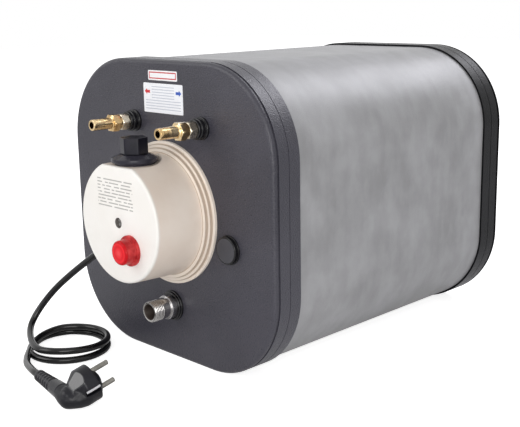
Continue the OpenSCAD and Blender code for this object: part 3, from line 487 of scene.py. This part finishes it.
def coverRings():
    rim, face, edge, wall = (cover[k] for k in ("rear", "face", "edge", "wall"))
    recess, bottom, hole = (cover[k] for k in ("recess", "recessFloor", "screwHole"))
    recessOut = recess + cover["recessWall"]
    straight = face - edge
    steps = int((straight - rim) / cover["ringEvery"])
    heights = [rim + (straight - rim) * k / steps for k in range(steps + 1)]
    rings = [(u, coverReach(u)) for u in heights]
    for k in range(1, cover["edgeSteps"] + 1):
        turn = pi / 2 * k / cover["edgeSteps"]
        rings.append((straight + edge * sin(turn), coverReach(straight, edge * (1 - cos(turn)))))
    for share in cover["faceShares"]:
        rings.append((face, lambda angle, share=share: share * coverReach(straight, edge)(angle)))
    rings += [(face, recess + 0.5), (face - 0.15, recess + 0.15), (face - 0.5, recess), (bottom, recess),
              (bottom, hole), (bottom - wall, hole), (bottom - wall, recessOut), (face - wall, recessOut),
              (face - wall, lambda angle: cover["innerShare"] * coverReach(straight)(angle)),
              (face - wall, coverReach(straight, edge))]
    return rings + [(u, coverReach(u, wall)) for u in reversed(heights[::2])]


coverPlace = outward(heaterX, heaterZ)
coverPiece = lofted("heaterCover", coverRings(), coverPlace, material("coverIvory", coverRecipe), turns=240)
stands(coverPiece, "ivory_plastic", "heater_cover")

# the boss inside the cover, local Z along the cord's way out
glandPlace = mm @ Matrix(((0, -exitWay.z, exitWay.x, heaterX), (1, 0, 0, frontY - cord["exitU"]),
                          (0, exitWay.x, exitWay.z, heaterZ), (0, 0, 0, 1)))
bossPiece = turned("coverBoss", cover["boss"], glandPlace, looks["ivory"])

# base ring: three rounded steps down to the panel
ring = {"radii": (71.2, 67.9, 64.6), "step": 3, "bore": 57.1, "soft": 0.45, "innerSoft": 0.3, "boreSoft": 0.4,
        "creases": (68.1, 64.8, 61)}


# the same ivory, shaded on the ring's risers and in its corners
def ringRecipe(pen):
    spot = pen.place()
    reach = offAxis(pen, spot, heaterX, heaterZ)[0]
    grain = pen.noise(spot, 1100.0, 1.5)
    corners = sum(pen.ramp(abs(reach - radius), 0.7, 0.2) for radius in ring["creases"])
    shade = pen.mix(pen.cloud(spot, 25.0), tint(238, 226, 213), tint(245, 235, 224))
    return {"Base Color": pen.mix(0.75 * corners, shade, tint(164, 142, 122)),
            "Roughness": 0.38 + 0.15 * (grain - 0.5),
            "Normal": pen.bump(grain, 0.00004)}


ringCorners = [(ring["bore"], 0, 0)]
for k, radius in enumerate(ring["radii"]):
    ringCorners += [(radius, k * ring["step"], ring["innerSoft"] if k else 0),
                    (radius, (k + 1) * ring["step"], ring["soft"])]
ringCorners.append((ring["bore"], len(ring["radii"]) * ring["step"], ring["boreSoft"]))
ringPiece = turned("baseRing", ringCorners, coverPlace, material("ringIvory", ringRecipe), turns=192)
stands(ringPiece, "ivory_plastic", "base_ring")
print("cover and ring ready")

# hose tails: rubber grommet, pale locknut, brass tail with a six-sided grip and barbs
tails = {"hot": -43.5, "cold": 57.5, "z": 239.05, "bore": 3.4, "pipe": 6.05, "nutFlats": 15, "nutFrom": 11,
         "nutTo": 20, "grip": 16, "gripFrom": 22, "gripTo": 30.5,
         "grommet": [
             (6.05, -6, 0), (10.5, -6, 0.6), (10.5, -3, 0.6), (8.6, -3, 0), (8.6, 0, 0), (10.9, 0, 0),
             (10.9, 2.5, 0.9), (9.3, 2.5, 0.4), (9.3, 5.85, 0.4), (10.2, 5.85, 0.6), (10.2, 7.65, 0.6),
             (9.3, 7.65, 0.4), (9.3, 11, 0.8), (6.05, 11, 0.3)],
         "foot": [(20, 7), (20.3, 7.2), (21.9, 7.2)],
         "spigot": [(6.4, 30.6, 0.4), (5.6, 31.2, 0.5), (5.6, 40.5, 0.3), (5.25, 44.2, 0.3), (5.6, 44.6, 0.3),
                    (5.25, 48.2, 0.3), (5.6, 48.6, 0.3), (5.3, 52.5, 0.6), (3.4, 52.5, 0.4)]}
locknutRings = sixSided(tails["nutFlats"], tails["nutFrom"], tails["nutTo"])
locknutRings = [(tails["nutFrom"], tails["pipe"])] + locknutRings + [(tails["nutTo"], tails["pipe"])]
tailRings = ([(tails["nutTo"], tails["bore"])] + tails["foot"]
             + sixSided(tails["grip"], tails["gripFrom"], tails["gripTo"]) + softened(tails["spigot"], False))
for side in ("hot", "cold"):
    place = outward(tails[side], tails["z"])
    grommet = turned(side + "Grommet", tails["grommet"], place, looks["rubberBlack"])
    locknut = lofted(side + "Locknut", locknutRings, place, looks["brassPale"])
    tail = lofted(side + "HoseTail", tailRings, place, looks["brass"])
    stands(grommet, "rubber_black", side + "_grommet")
    stands(locknut, "brass_pale", side + "_locknut")
    stands(tail, "brass", side + "_hose_tail")
print("hose tails ready")

# drain nipple: a threaded tube in a plain collar and a rubber grommet
nipple = {"x": 6, "z": 55.6, "radius": 10.48, "bore": 7.75, "from": -60, "plain": 12.5, "thread": 19,
          "end": 31, "pitch": 1.8, "depth": 0.36, "perPitch": 12, "runIn": 2, "runOut": 1.2, "edge": 0.5,
          "collar": [(10.5, 4.5, 0), (12.28, 4.5, 0.3), (12.28, 11, 0.7), (10.5, 11, 0)],
          "seal": [(10.53, -6, 0), (16, -6, 0.8), (16, -3, 0.8), (13.4, -3, 0), (13.4, 0, 0), (15.48, 0, 0),
                   (15.48, 2, 0.9), (14.48, 2.2, 0.3), (14.48, 4.5, 1.4), (10.53, 4.5, 0)]}
nipplePlace = outward(nipple["x"], nipple["z"])


# drawn steel, with painted shade in the thread's grooves, and dark brown and duller inside the bore
def nippleRecipe(pen):
    spot = pen.place()
    reach = offAxis(pen, spot, nipple["x"], nipple["z"])[0]
    lines = pen.noise(pen.stretch(spot, 2.0, 30.0, 2.0), 60.0, 3.0)
    cloud = pen.cloud(spot, 50.0, 0.72)
    # painted shade in the thread's grooves
    grooveShade = pen.ramp(reach, nipple["radius"] - 0.02, nipple["radius"] - 0.28)
    grooveShade = grooveShade * outFrom(pen, spot, nipple["thread"] - 1.0, nipple["thread"] + 1.0)
    steel = pen.mix(0.4 * grooveShade, pen.mix(cloud, tint(200, 198, 196), tint(224, 222, 220)), tint(70, 66, 62))
    bore = pen.ramp(reach, nipple["bore"] + 0.85, nipple["bore"] + 0.25)
    return {"Base Color": pen.mix(bore, steel, tint(58, 50, 45)),
            "Metallic": 1 - 0.5 * bore,
            "Roughness": 0.15 + 0.06 * cloud + 0.35 * bore + 0.1 * (lines - 0.5)}


def nippleThread(u):
    fade = eased((u - nipple["thread"]) / nipple["runIn"]) * eased((nipple["end"] - u) / nipple["runOut"])
    drop = nipple["edge"] * (1 - eased((nipple["end"] - u) / 0.8 + 0.1))

    def reach(angle):
        wave = abs((u / nipple["pitch"] - angle / tau) % 1.0 - 0.5) * 2
        return nipple["radius"] - nipple["depth"] * fade * (1 - eased(1.4 * wave)) - drop
    return reach


nippleLong = nipple["end"] - nipple["plain"]
nippleSteps = int(nippleLong / nipple["pitch"] * nipple["perPitch"])
nippleHeights = [nipple["plain"] + nippleLong * k / nippleSteps for k in range(nippleSteps + 1)]
nippleRings = [(nipple["from"], nipple["bore"]), (nipple["from"], nipple["radius"])]
nippleRings += [(u, nippleThread(u)) for u in nippleHeights]
nippleRings += [(nipple["end"], nipple["bore"] + nipple["edge"]), (nipple["end"] - nipple["edge"], nipple["bore"])]
nipplePiece = lofted("drainNipple", nippleRings, nipplePlace, material("nippleSteel", nippleRecipe), sharp=50)
stands(nipplePiece, "stainless", "threaded_nipple")
stands(turned("nippleCollar", nipple["collar"], nipplePlace, looks["collarGrey"]), "stainless", "nipple_collar")
stands(turned("nippleGrommet", nipple["seal"], nipplePlace, looks["rubberBlack"]), "rubber_black", "nipple_grommet")

# blanking plug: a low domed button on a thin rim
blank = {"x": 91, "z": 128, "faceRim": (12.2, 11.4), "faceOut": (4, 4.6),
         "profile": [(0, 5.2, 0), (8, 5.2, 0), (13.2, 4.9, 1), (13.4, 1.2, 0.2), (14.2, 1.2, 0.5), (14.2, 0, 0),
                     (10.4, 0, 0), (10.4, -3, 0), (11.2, -3.4, 0.3), (10.2, -5, 0.4), (0, -5, 0)]}


# matt button with a grey face, its side and rim painted near black as shade
def blankRecipe(pen):
    spot = pen.place()
    reach = offAxis(pen, spot, blank["x"], blank["z"])[0]
    grain = pen.noise(spot, 700.0, 2.0)
    face = pen.ramp(reach, *blank["faceRim"]) * outFrom(pen, spot, *blank["faceOut"])
    grey = pen.mix(grain, tint(60, 60, 66), tint(72, 72, 78))
    # painted shade: all but the face is near black
    return {"Base Color": pen.mix(face, tint(10, 10, 13), grey),
            "Roughness": 0.2 + 0.14 * face + 0.1 * (grain - 0.5),
            "Specular IOR Level": 0.35,
            "Normal": pen.bump(grain, 0.00006)}


stands(turned("blankingPlug", blank["profile"], outward(blank["x"], blank["z"]), material("blankGrey", blankRecipe),
              loop=False), "trim_black", "blanking_plug")
print("nipple and blanking plug ready")

# reset nut, a low ribbed cone on a brim, and its screw-off cap over the button
reset = {"x": 4, "y": -185.75, "seat": 205.3, "neck": 9.05,
         "nutRadius": 22.4, "foot": 19, "brim": (2.3, 6.4), "nutHigh": 9.5, "nutTop": 14.5, "nutEdge": 0.6,
         "coneSteps": 8, "ribs": 8, "ribTurn": 0.3, "ribProud": 0.5, "ribHalf": 1.1, "ribSoft": 0.6, "ribFade": 1.5,
         "capLow": 9.8, "capHigh": 25.3, "capFlats": 23.5, "capTurn": -20.5, "capBore": 9.3, "capRoof": 4,
         "capEdge": 0.5, "cornerCut": 0.35, "dish": (8, 7.6), "dishDeep": 0.3}
resetPlace = mm @ Matrix.Translation((reset["x"], reset["y"], reset["seat"]))


def ribbed(radius, share):
    def reach(angle):
        place = ((angle - reset["ribTurn"]) * reset["ribs"] / tau) % 1.0
        off = abs(place - 0.5) * tau * radius / reset["ribs"]
        return radius + share * reset["ribProud"] * eased((reset["ribHalf"] - off) / reset["ribSoft"])
    return reach


def nutRings():
    radius, foot, high, top, edge = (reset[k] for k in ("nutRadius", "foot", "nutHigh", "nutTop", "nutEdge"))
    brimLow, brimHigh = reset["brim"]
    cone, steps = radius - edge, reset["coneSteps"]
    rings = [(0, reset["neck"]), (0, foot), (brimLow - edge / 3, foot + edge / 2), (brimLow, cone),
             (brimLow + edge / 3, radius - edge / 4), (brimLow + edge, radius), (brimHigh - edge, radius),
             (brimHigh - edge / 3, radius - edge / 4), (brimHigh, cone)]
    for k in range(1, steps):
        share = eased(k / reset["ribFade"]) * eased((steps - k) / reset["ribFade"])
        rings.append((brimHigh + (high - brimHigh) * k / steps, ribbed(cone + (top - cone) * k / steps, share)))
    return rings + [(high - edge / 6, top + edge / 3), (high, top - edge / 3), (high, reset["neck"])]


# six flats whose corners are turned back a little
def capReach(inset=0.0):
    across = reset["capFlats"] - 2 * inset
    corner = across / 2 / cos(pi / 6) - reset["cornerCut"]
    return flats(6, across, corner, radians(reset["capTurn"] + 30))


def capRings():
    low, high, bore, edge = (reset[k] for k in ("capLow", "capHigh", "capBore", "capEdge"))
    roof, dish = high - reset["capRoof"], high - reset["dishDeep"]
    turns = [pi / 8 * k for k in range(5)]
    rings = [(roof, 0), (roof, bore), (low, bore), (low, capReach(edge)), (low + edge, capReach())]
    rings += [(high - edge + edge * sin(turn), capReach(edge * (1 - cos(turn)))) for turn in turns]
    return rings + [(high, reset["dish"][0]), (dish, reset["dish"][1]), (dish, 0)]


nutPiece = lofted("resetNut", nutRings(), resetPlace, looks["trimBlack"], turns=256, sharp=50)
capPiece = lofted("resetCap", capRings(), resetPlace, looks["capGloss"], False, 180, body="reset_cap")
stands(nutPiece, "trim_black", "cutout_nut")
stands(capPiece, "trim_black", "reset_cap")

# neon lamp's red lens on its flange
lamp = {"x": 21.5, "z": 127.5, "seat": 61.5, "radius": 12, "height": 14, "flange": 14.8, "flangeHeight": 3,
        "wall": 1.5, "taper": 0.3, "soft": 2.2, "ribs": 5, "ringPitch": 4.2, "rim": (8.8, 10.4), "glow": (5, 1)}


# clear red plastic: ribs inside the barrel, the barrel painted darker than the front as shade, a painted glow in the
# middle of the front where the bulb stands behind it, and a darker ring near its edge
def lensRecipe(pen):
    spot = pen.place()
    swirl = pen.noise(spot, 240.0, 3.0)
    reach, turn = offAxis(pen, spot, lamp["x"], lamp["z"])
    tip = lamp["seat"] + lamp["height"]
    ribs = 0.5 + 0.5 * pen.math("SINE", turn * lamp["ribs"])
    # painted shade: the barrel is a darker red than the front
    barrel = pen.mix(0.35 * ribs + 1.2 * (swirl - 0.3), tint(158, 20, 26), tint(222, 74, 74))
    rings = pen.ramp(abs(pen.math("FRACT", reach / lamp["ringPitch"]) - 0.5), 0.05, 0.45)
    disc = pen.mix(0.4 * rings + 0.4 * swirl, tint(218, 12, 26), tint(246, 40, 50))
    # painted glow: a bright middle on the front
    disc = pen.mix(0.6 * pen.ramp(reach, *lamp["glow"]), disc, tint(250, 84, 88))
    disc = pen.mix(pen.ramp(reach, *lamp["rim"]), disc, tint(196, 10, 22))
    return {"Base Color": pen.mix(outFrom(pen, spot, tip - 3.0, tip - 1.0), barrel, disc),
            "Roughness": 0.1 + 0.1 * swirl,
            "Specular IOR Level": 0.15,
            "Normal": pen.bump(swirl, 0.00005)}


looks["lensRed"] = material("lensRed", lensRecipe)
inner, roof = lamp["radius"] - lamp["wall"], lamp["height"] - lamp["wall"]
lensCorners = [(0, lamp["height"], 0), (lamp["radius"] - lamp["taper"], lamp["height"], lamp["soft"]),
               (lamp["radius"], lamp["flangeHeight"], 0.5), (lamp["flange"], lamp["flangeHeight"], 0.9),
               (lamp["flange"], 0, 0), (inner, 0, 0), (inner, roof, 0), (0, roof, 0)]
stands(turned("lampLens", lensCorners, outward(lamp["x"], lamp["z"], lamp["seat"]), looks["lensRed"], loop=False),
       "lens_red", "lamp_lens")
print("reset cap and lamp ready")

# cord gland: six-sided body and a fluted nut drawn in round the cord
gland = {"flats": 19, "from": 62.5, "nutFrom": 66.5, "nutTo": 75.5, "mouth": 80, "radius": 9, "tip": 6,
         "bore": 3.6, "back": 0.8, "flutes": 14, "fluteDeep": 0.45, "noseDrop": 0.6, "noseSteps": 6}


def fluted(radius, share):
    def reach(angle):
        return radius - gland["fluteDeep"] * share * (1 + cos(gland["flutes"] * angle))
    return reach


def glandNutRings():
    low, high, radius, bore, tip = (gland[k] for k in ("nutFrom", "nutTo", "radius", "bore", "tip"))
    rings = [(low, bore), (low, radius - 0.5), (low + 0.6, fluted(radius, 0.6)), (low + 1.4, fluted(radius, 1)),
             (high - 1, fluted(radius, 1)), (high, fluted(radius - 0.2, 0.4))]
    for k in range(1, gland["noseSteps"] + 1):
        share = k / gland["noseSteps"]
        rings.append((high + (gland["mouth"] - high) * share,
                      tip + (radius - gland["noseDrop"] - tip) * cos(pi / 2 * share)))
    return rings + [(gland["mouth"], bore)]


glandBodyRings = sixSided(gland["flats"], gland["from"], gland["nutFrom"], gland["back"])
glandBodyRings = [(gland["from"], gland["bore"])] + glandBodyRings + [(gland["nutFrom"], gland["bore"])]
stands(lofted("glandBody", glandBodyRings, glandPlace, looks["trimBlack"]), "trim_black", "cord_gland_body")
stands(lofted("glandNut", glandNutRings(), glandPlace, looks["trimBlack"]), "trim_black", "cord_gland_nut")

# plug: round head, hollowed grip behind it, fuller below, turning into the cord's relief
head = {"radius": 17.4, "depth": 12.5, "waist": 9.4, "waistAt": 22.5, "voxel": 0.0005, "easeBy": 0.5,
        "firstEase": 20, "lastEase": 3, "lowest": 0.0002, "sharp": 40,
        "grip": [((0, -8, 0), 15), ((0, -12, -1.5), 13), ((0, -15, -2.5), 11.2), ((0, -18, -2.5), 9.8),
                 ((0, -22, -1.5), 9), ((0, -26, -0.5), 8.8)],
        "elbow": [((1.5, -8, -3), 14.2), ((2.6, -13, -4.2), 12.8), ((3.2, -18, -4.2), 11.2),
                  ((2.5, -23.5, -3.6), 9.6), ((0.5, -27, -3.2), 9), ((-4, -27.2, -1.8), 8.7),
                  ((-9, -26.8, -0.6), 8.3), ((-14, -26.5, 0), 8)],
        "facetWay": (0.39, -0.6, 0.69), "facetAt": 20.1, "facetFrom": -29, "facetFade": 6, "polish": (-23.5, -21.5),
        "hollow": 1, "hollowX": (4, 4), "hollowY": (-27, 7, -13, 4), "hollowZ": (-5, 5, 8, 5),
        "slotX": (12.5, 20), "slotY": (-15, 2), "slotZ": (-3, 2.6),
        "clipX": (15.9, 17), "clipZ": (0.4, 2.5), "clipFrom": -0.4, "clipLong": 14, "clipBow": 0.5,
        "clipSteps": 12}
fromPlug = mm @ plugPlace
toPlug = fromPlug.inverted()
facetWay = Vector(head["facetWay"]).normalized()


# the relief's plastic, painted darker on the head as shade, and polished on the thumb facet
def plugRecipe(pen):
    spot = pen.place()
    grain = pen.noise(spot, 900.0, 1.5)

    def reach(way):
        turnedWay = plugPlace.to_3x3() @ way
        along = sum(pen.axis(spot, k) * (1000.0 * turnedWay[k]) for k in range(3))
        return along - turnedWay.dot(plugPlace.translation)

    facet = pen.ramp(reach(facetWay), head["facetAt"] - 0.55, head["facetAt"] - 0.2)
    facet = facet * pen.ramp(reach(Vector((0, 1, 0))), *head["polish"])
    # painted shade: a darker copy of the relief's charcoal
    return {"Base Color": pen.mix(pen.cloud(spot, 60.0) + 1.6 * (grain - 0.5), tint(14, 14, 20), tint(24, 24, 31)),
            "Roughness": 0.34 - 0.2 * facet + 0.16 * (grain - 0.5),
            "Specular IOR Level": 0.3,
            "Coat Weight": facet,
            "Coat Roughness": 0.1,
            "Normal": pen.bump(grain, 0.00006)}


def beads(chain, steps=6):
    for (near, nearRadius), (far, farRadius) in zip(chain, chain[1:]):
        for k in range(steps):
            share = k / steps
            yield Vector(near).lerp(Vector(far), share), nearRadius + (farRadius - nearRadius) * share


def within(value, low, lowSoft, high, highSoft):
    return eased((value - low) / lowSoft) * eased((high - value) / highSoft)


# a box for the clip's slot, mirrored to the other side of the plug where side is -1
def slotBox(side):
    verts = [(side * x, y, z) for x in head["slotX"] for y in head["slotY"] for z in head["slotZ"]]
    faces = [(0, 1, 3, 2), (4, 6, 7, 5), (0, 4, 5, 1), (2, 3, 7, 6), (0, 2, 6, 4), (1, 5, 7, 3)]
    return bpy.data.objects.new("slotBlock", shaped("slotBlock", verts, faces, fromPlug))


def easing(piece, iterations):
    ease = piece.modifiers.new("ease", "SMOOTH")
    ease.factor = head["easeBy"]
    ease.iterations = iterations


def current(piece):
    return bpy.data.meshes.new_from_object(piece.evaluated_get(bpy.context.evaluated_depsgraph_get()))


headCorners = [(0, 0, 0), (head["radius"], 0, 0.8), (head["radius"], -head["depth"], 1.5),
               (head["waist"], -head["waistAt"], 3), (0, -head["waistAt"] - 1, 0)]
headVerts, headFaces = loft(softened(headCorners, False))
headVerts = [(x, z, -y) for x, y, z in headVerts]
for spot, radius in list(beads(head["grip"])) + list(beads(head["elbow"])):
    ball = bmesh.new()
    bmesh.ops.create_icosphere(ball, subdivisions=3, radius=radius, matrix=Matrix.Translation(spot))
    start = len(headVerts)
    headVerts += [tuple(v.co) for v in ball.verts]
    headFaces += [tuple(start + v.index for v in f.verts) for f in ball.faces]
    ball.free()
rough = placed("plugBlank", shaped("plugBlank", headVerts, headFaces, fromPlug))
melt = rough.modifiers.new("melt", "REMESH")
melt.mode = "VOXEL"
melt.voxel_size = head["voxel"]
easing(rough, head["firstEase"])
plugMesh = current(rough)
rough.modifiers.clear()
for vertex in plugMesh.vertices:
    spot = toPlug @ vertex.co
    over = spot.dot(facetWay) - head["facetAt"]
    if over > 0:  # the flat thumb facet behind the head
        spot -= facetWay * over * eased((spot.y - head["facetFrom"]) / head["facetFade"])
    side, sideSoft = head["hollowX"]
    if spot.x > side:  # the hollow below it, along the side
        deep = eased((spot.x - side) / sideSoft) * within(spot.y, *head["hollowY"]) * within(spot.z, *head["hollowZ"])
        spot.x -= head["hollow"] * deep
    vertex.co = fromPlug @ spot
    vertex.co.z = max(vertex.co.z, head["lowest"])
rough.data = plugMesh
easing(rough, head["lastEase"])
slotBlocks = [slotBox(1), slotBox(-1)]
for block in slotBlocks:
    cut = rough.modifiers.new("cut", "BOOLEAN")
    cut.operation = "DIFFERENCE"
    cut.object = block
plugMesh = smoothed(current(rough), head["sharp"])
for spare in [rough] + slotBlocks:
    bpy.data.objects.remove(spare)
plugMesh.materials.clear()
plugShell = mounted("plugShell", plugMesh, material("plugPolished", plugRecipe))
stands(plugShell, "plug_charcoal", "plug_body")

# earth clips: a bowed strip in each slot
clipVerts, clipFaces = [], []
clipNear, clipFar = head["clipX"]
clipLow, clipHigh = head["clipZ"]
for side in (1, -1):
    base = len(clipVerts)
    for k in range(head["clipSteps"] + 1):
        share = k / head["clipSteps"]
        y = head["clipFrom"] - head["clipLong"] * share
        bow = head["clipBow"] * sin(pi * share)
        corners = (clipNear, clipLow), (clipFar, clipLow), (clipFar, clipHigh), (clipNear, clipHigh)
        clipVerts += [(side * (x + bow), y, z) for x, z in corners]
    for k in range(head["clipSteps"]):
        clipFaces += [tuple(base + 4 * k + v for v in (c, (c + 1) % 4, (c + 1) % 4 + 4, c + 4)) for c in range(4)]
    last = base + 4 * head["clipSteps"]
    clipFaces += [tuple(base + v for v in (3, 2, 1, 0)), tuple(last + v for v in (0, 1, 2, 3))]
clipPiece = finished("earthClips", clipVerts, clipFaces, fromPlug, looks["clipBright"])
stands(clipPiece, "pin_nickel", "plug_earth_clips")

# the relief: a tapering sleeve with ring grooves, from the elbow back along the cord
relief = {"root": -11, "tip": plug["mouth"][0], "y": plug["mouth"][1], "rootRadius": 8.1, "tipRadius": 5.6,
          "bore": 3.2, "grooves": 6, "groovesFrom": 0.3, "groovesSpan": 0.62, "deep": 0.9, "steps": 120}


def reliefReach(share):
    plain = relief["rootRadius"] + (relief["tipRadius"] - relief["rootRadius"]) * share
    place = (share - relief["groovesFrom"]) / relief["groovesSpan"] * relief["grooves"]
    if not 0 <= place <= relief["grooves"]:
        return plain
    return plain - relief["deep"] * eased(1.5 - 3.2 * abs(place % 1.0 - 0.5))


def reliefRings():
    root, tip, radius, bore, steps = (relief[k] for k in ("root", "tip", "tipRadius", "bore", "steps"))
    rings = [(-root + (root - tip) * k / steps, reliefReach(k / steps)) for k in range(steps - 2)]
    return [(-root, bore)] + rings + [(-tip - 0.6, radius - 0.3), (-tip, radius - 1.0), (-tip, bore)]


reliefPlace = fromPlug @ Matrix(((0, 0, -1, 0), (0, 1, 0, relief["y"]), (1, 0, 0, 0), (0, 0, 0, 1)))
reliefPiece = lofted("plugRelief", reliefRings(), reliefPlace, looks["plugCharcoal"], turns=64, sharp=60)
stands(reliefPiece, "plug_charcoal", "plug_relief")
print("gland and plug ready")

# two plain plates on the panel: an empty frame, and ruled lines with a red arrow on the hot side, a blue on the cold
plates = {"small": {"x": (-19, 24.5), "z": (280.5, 290), "shades": ((240, 240, 242), (248, 248, 250)),
                    "ink": (196, 52, 58)},
          "large": {"x": (-27, 32), "z": (249, 277.6), "shades": ((238, 240, 246), (246, 248, 252)),
                    "ink": (120, 132, 158)},
          "thick": 0.25, "corner": 1.2,
          "frame": {"x": (-17.5, 23), "z": (281.9, 288.6)}, "inside": {"x": (-16.3, 21.8), "z": (283, 287.5)},
          "upper": {"x": (-14.5, 19.5), "z": (262.2, 275.5)},
          "lower": {"x": (-24, 29), "z": (251.5, 262.2), "pitch": 2.67, "half": 0.2},
          "arrow": [(0, 0), (3.4, 2.9), (3.4, 1.4), (8, 1.4), (8, -1.4), (3.4, -1.4), (3.4, -2.9)],
          "arrowZ": 269.3, "arrowThick": 0.1,
          "arrows": (("hotArrow", -25, 1, "arrowRed"), ("coldArrow", 30, -1, "arrowBlue"))}


def smallMarks(pen, x, z):
    return boxed(pen, x, z, plates["frame"], 0.2) * (1 - boxed(pen, x, z, plates["inside"], 0.2))


def largeMarks(pen, x, z):
    blocks = boxed(pen, x, z, plates["upper"]) + boxed(pen, x, z, plates["lower"])
    return 0.5 * ruled(pen, z, plates["lower"]) * blocks


def plateLook(name, marks):
    def recipe(pen):
        spot = pen.place()
        paper = pen.mix(pen.noise(spot, 90.0, 3.0), *(tint(*shade) for shade in plates[name]["shades"]))
        return {"Base Color": pen.mix(marks(pen, *onFront(pen, spot)), paper, tint(*plates[name]["ink"])),
                "Roughness": 0.35 + 0.15 * pen.noise(spot, 400.0)}
    return material(name + "Plate", recipe)


def slab(name, outline, low, high, look):
    count = len(outline)
    verts = [(x, z, low) for x, z in outline] + [(x, z, high) for x, z in outline]
    faces = [tuple(reversed(range(count))), tuple(range(count, 2 * count))]
    faces += [(k, (k + 1) % count, (k + 1) % count + count, k + count) for k in range(count)]
    return finished(name, verts, faces, outward(0, 0), look)


def roundedOutline(x, z, corner):
    outline = []
    for k in range(4):
        midX = x[1] - corner if k in (0, 3) else x[0] + corner
        midZ = z[1] - corner if k in (0, 1) else z[0] + corner
        for s in range(5):
            angle = pi / 2 * (k + s / 4)
            outline.append((midX + corner * cos(angle), midZ + corner * sin(angle)))
    return outline


for name, marks in (("small", smallMarks), ("large", largeMarks)):
    outline = roundedOutline(plates[name]["x"], plates[name]["z"], plates["corner"])
    plate = slab(name + "Plate", outline, 0, plates["thick"], plateLook(name, marks))
for name, x, way, look in plates["arrows"]:
    outline = [(x + way * a, plates["arrowZ"] + b) for a, b in plates["arrow"]][::way]
    arrow = slab(name, outline, plates["thick"], plates["thick"] + plates["arrowThick"], looks[look])
print("plates ready")


# painted sheet: blotches of two sizes, faintly drawn out round the casing
def casingRecipe(pen):
    spot = pen.place()
    blotch = pen.ramp(pen.noise(pen.stretch(spot, 1.0, 1.0, 1.4), 13.0, 7.0), 0.34, 0.68)
    fleck = pen.ramp(pen.noise(pen.stretch(spot, 1.0, 1.3, 0.8), 46.0, 5.0), 0.34, 0.7)
    streak = pen.noise(pen.stretch(spot, 5.0, 70.0, 5.0), 1.0, 4.0)
    grain = pen.noise(spot, 1100.0, 2.0)
    shade = pen.mix(0.6 * blotch + 0.4 * fleck, tint(135, 135, 136), tint(161, 161, 163))
    return {"Base Color": pen.mix(0.12 * pen.ramp(streak, 0.35, 0.7), shade, tint(176, 176, 179)),
            "Roughness": 0.36 + 0.12 * blotch,
            "Normal": pen.bump(grain, 0.00012)}


def neonRecipe(pen):
    haze = pen.noise(pen.place(), 300.0, 2.0)
    return {"Base Color": pen.mix(haze, tint(222, 214, 206), tint(240, 226, 214)),
            "Roughness": 0.1 + 0.1 * haze,
            "Transmission Weight": 0.6,
            "IOR": 1.45}


# looks on the CAD nodes: but for two, a look is called as its record slot is
looks["casingGrey"] = material("casingGrey", casingRecipe)
looks["neonGlass"] = material("neonGlass", neonRecipe)
slotLooks = {"ivory_plastic": "ivory", "white_plastic": "white"}
for part in frame["record"]["subparts"]:
    first, *others = part["material_slot"].split("_")
    name = slotLooks.get(part["material_slot"], first + "".join(word.title() for word in others))
    held = nodes[part["node"]].data.materials
    held.clear()
    held.append(looks[name])
print("looks set on the CAD nodes")

# camera
view = {"lens": 65.5, "at": (0.717, -0.72485, 0.3556), "azimuth": 45.34, "elevation": 12.79, "roll": -1.02}
lens = bpy.data.cameras.new("view")
lens.lens = view["lens"]
camera = placed("view", lens)
camera.matrix_world = (Matrix.Translation(view["at"]) @ rotated(view["azimuth"], "Z")
                       @ rotated(90 - view["elevation"], "X") @ rotated(view["roll"], "Z"))
scene.camera = camera


# the camera's own rays, and those it sees by reflection or through glass
def raysSeen(pen):
    direct, mirrored, passing = (pen.add("LightPath", out=kind) for kind in (
        "Is Camera Ray", "Is Glossy Ray", "Is Transmission Ray"))
    return direct, pen.math("MINIMUM", mirrored + passing, 1.0)


# light: white round about, soft boxes in front on the left and the right and one high behind
surround = {"dim": 0.32, "seen": 0.68, "aim": (0, 0, 0.15)}
boxes = {"leftBox": {"at": (-1.1, -2.0, 1.45), "size": 1.6, "power": 21.0, "hue": (1.0, 0.99, 0.98)},
         "backBox": {"at": (0.3, 1.5, 1.7), "size": 1.2, "power": 26.0, "hue": (0.93, 0.93, 1.0)},
         "rightBox": {"at": (1.5, -1.6, 0.6), "size": 1.4, "power": 24.5, "hue": (1.0, 0.99, 0.98)}}
scene.view_settings.view_transform = "Standard"
world = bpy.data.worlds.new("surround")
world.use_nodes = True
scene.world = world
sky = Wire(world.node_tree)
seenDirect, seenOther = raysSeen(sky)
seen = sky.math("MINIMUM", seenDirect + seenOther, 1.0)
backdrop = world.node_tree.nodes["Background"]
sky.join((1.0, 1.0, 1.0, 1.0), backdrop.inputs["Color"])
sky.join(surround["dim"] + surround["seen"] * seen, backdrop.inputs["Strength"])
for name, box in boxes.items():
    light = bpy.data.lights.new(name, "AREA")
    light.size = box["size"]
    light.energy = box["power"]
    light.color = box["hue"]
    holder = placed(name, light)
    holder.location = box["at"]
    holder.rotation_euler = (Vector(surround["aim"]) - Vector(box["at"])).to_track_quat("-Z", "Y").to_euler()

# floor: white to the eye, its shadow kept near the heater
ground = {"corners": [(-6, -6, 0), (6, -6, 0), (6, 6, 0), (-6, 6, 0)], "tone": (240, 240, 240),
          "near": 0.45, "far": 1.3, "nearGlow": 0.8, "mirrorGlow": 0.2}


def floorRecipe(pen):
    direct, other = raysSeen(pen)
    spot = pen.place()
    x, y = pen.axis(spot, 0), pen.axis(spot, 1)
    away = pen.math("SQRT", x * x + y * y)
    glow = pen.ramp(away, ground["near"], ground["far"], ground["nearGlow"], 1.0) * direct
    glow = glow + ground["mirrorGlow"] * other
    return {"Base Color": tint(*ground["tone"]),
            "Roughness": 1.0,
            "Specular IOR Level": 0.0,
            "Emission Color": pen.mix(glow, (0, 0, 0, 1), (1, 1, 1, 1)),
            "Emission Strength": 1.0}


floorMesh = bpy.data.meshes.new("floor")
floorMesh.from_pydata(ground["corners"], [], [(0, 1, 2, 3)])
floorMesh.materials.append(material("floor", floorRecipe))
floor = placed("floor", floorMesh)
print("camera, light and floor ready")

tuple(exitMouth / 1000)
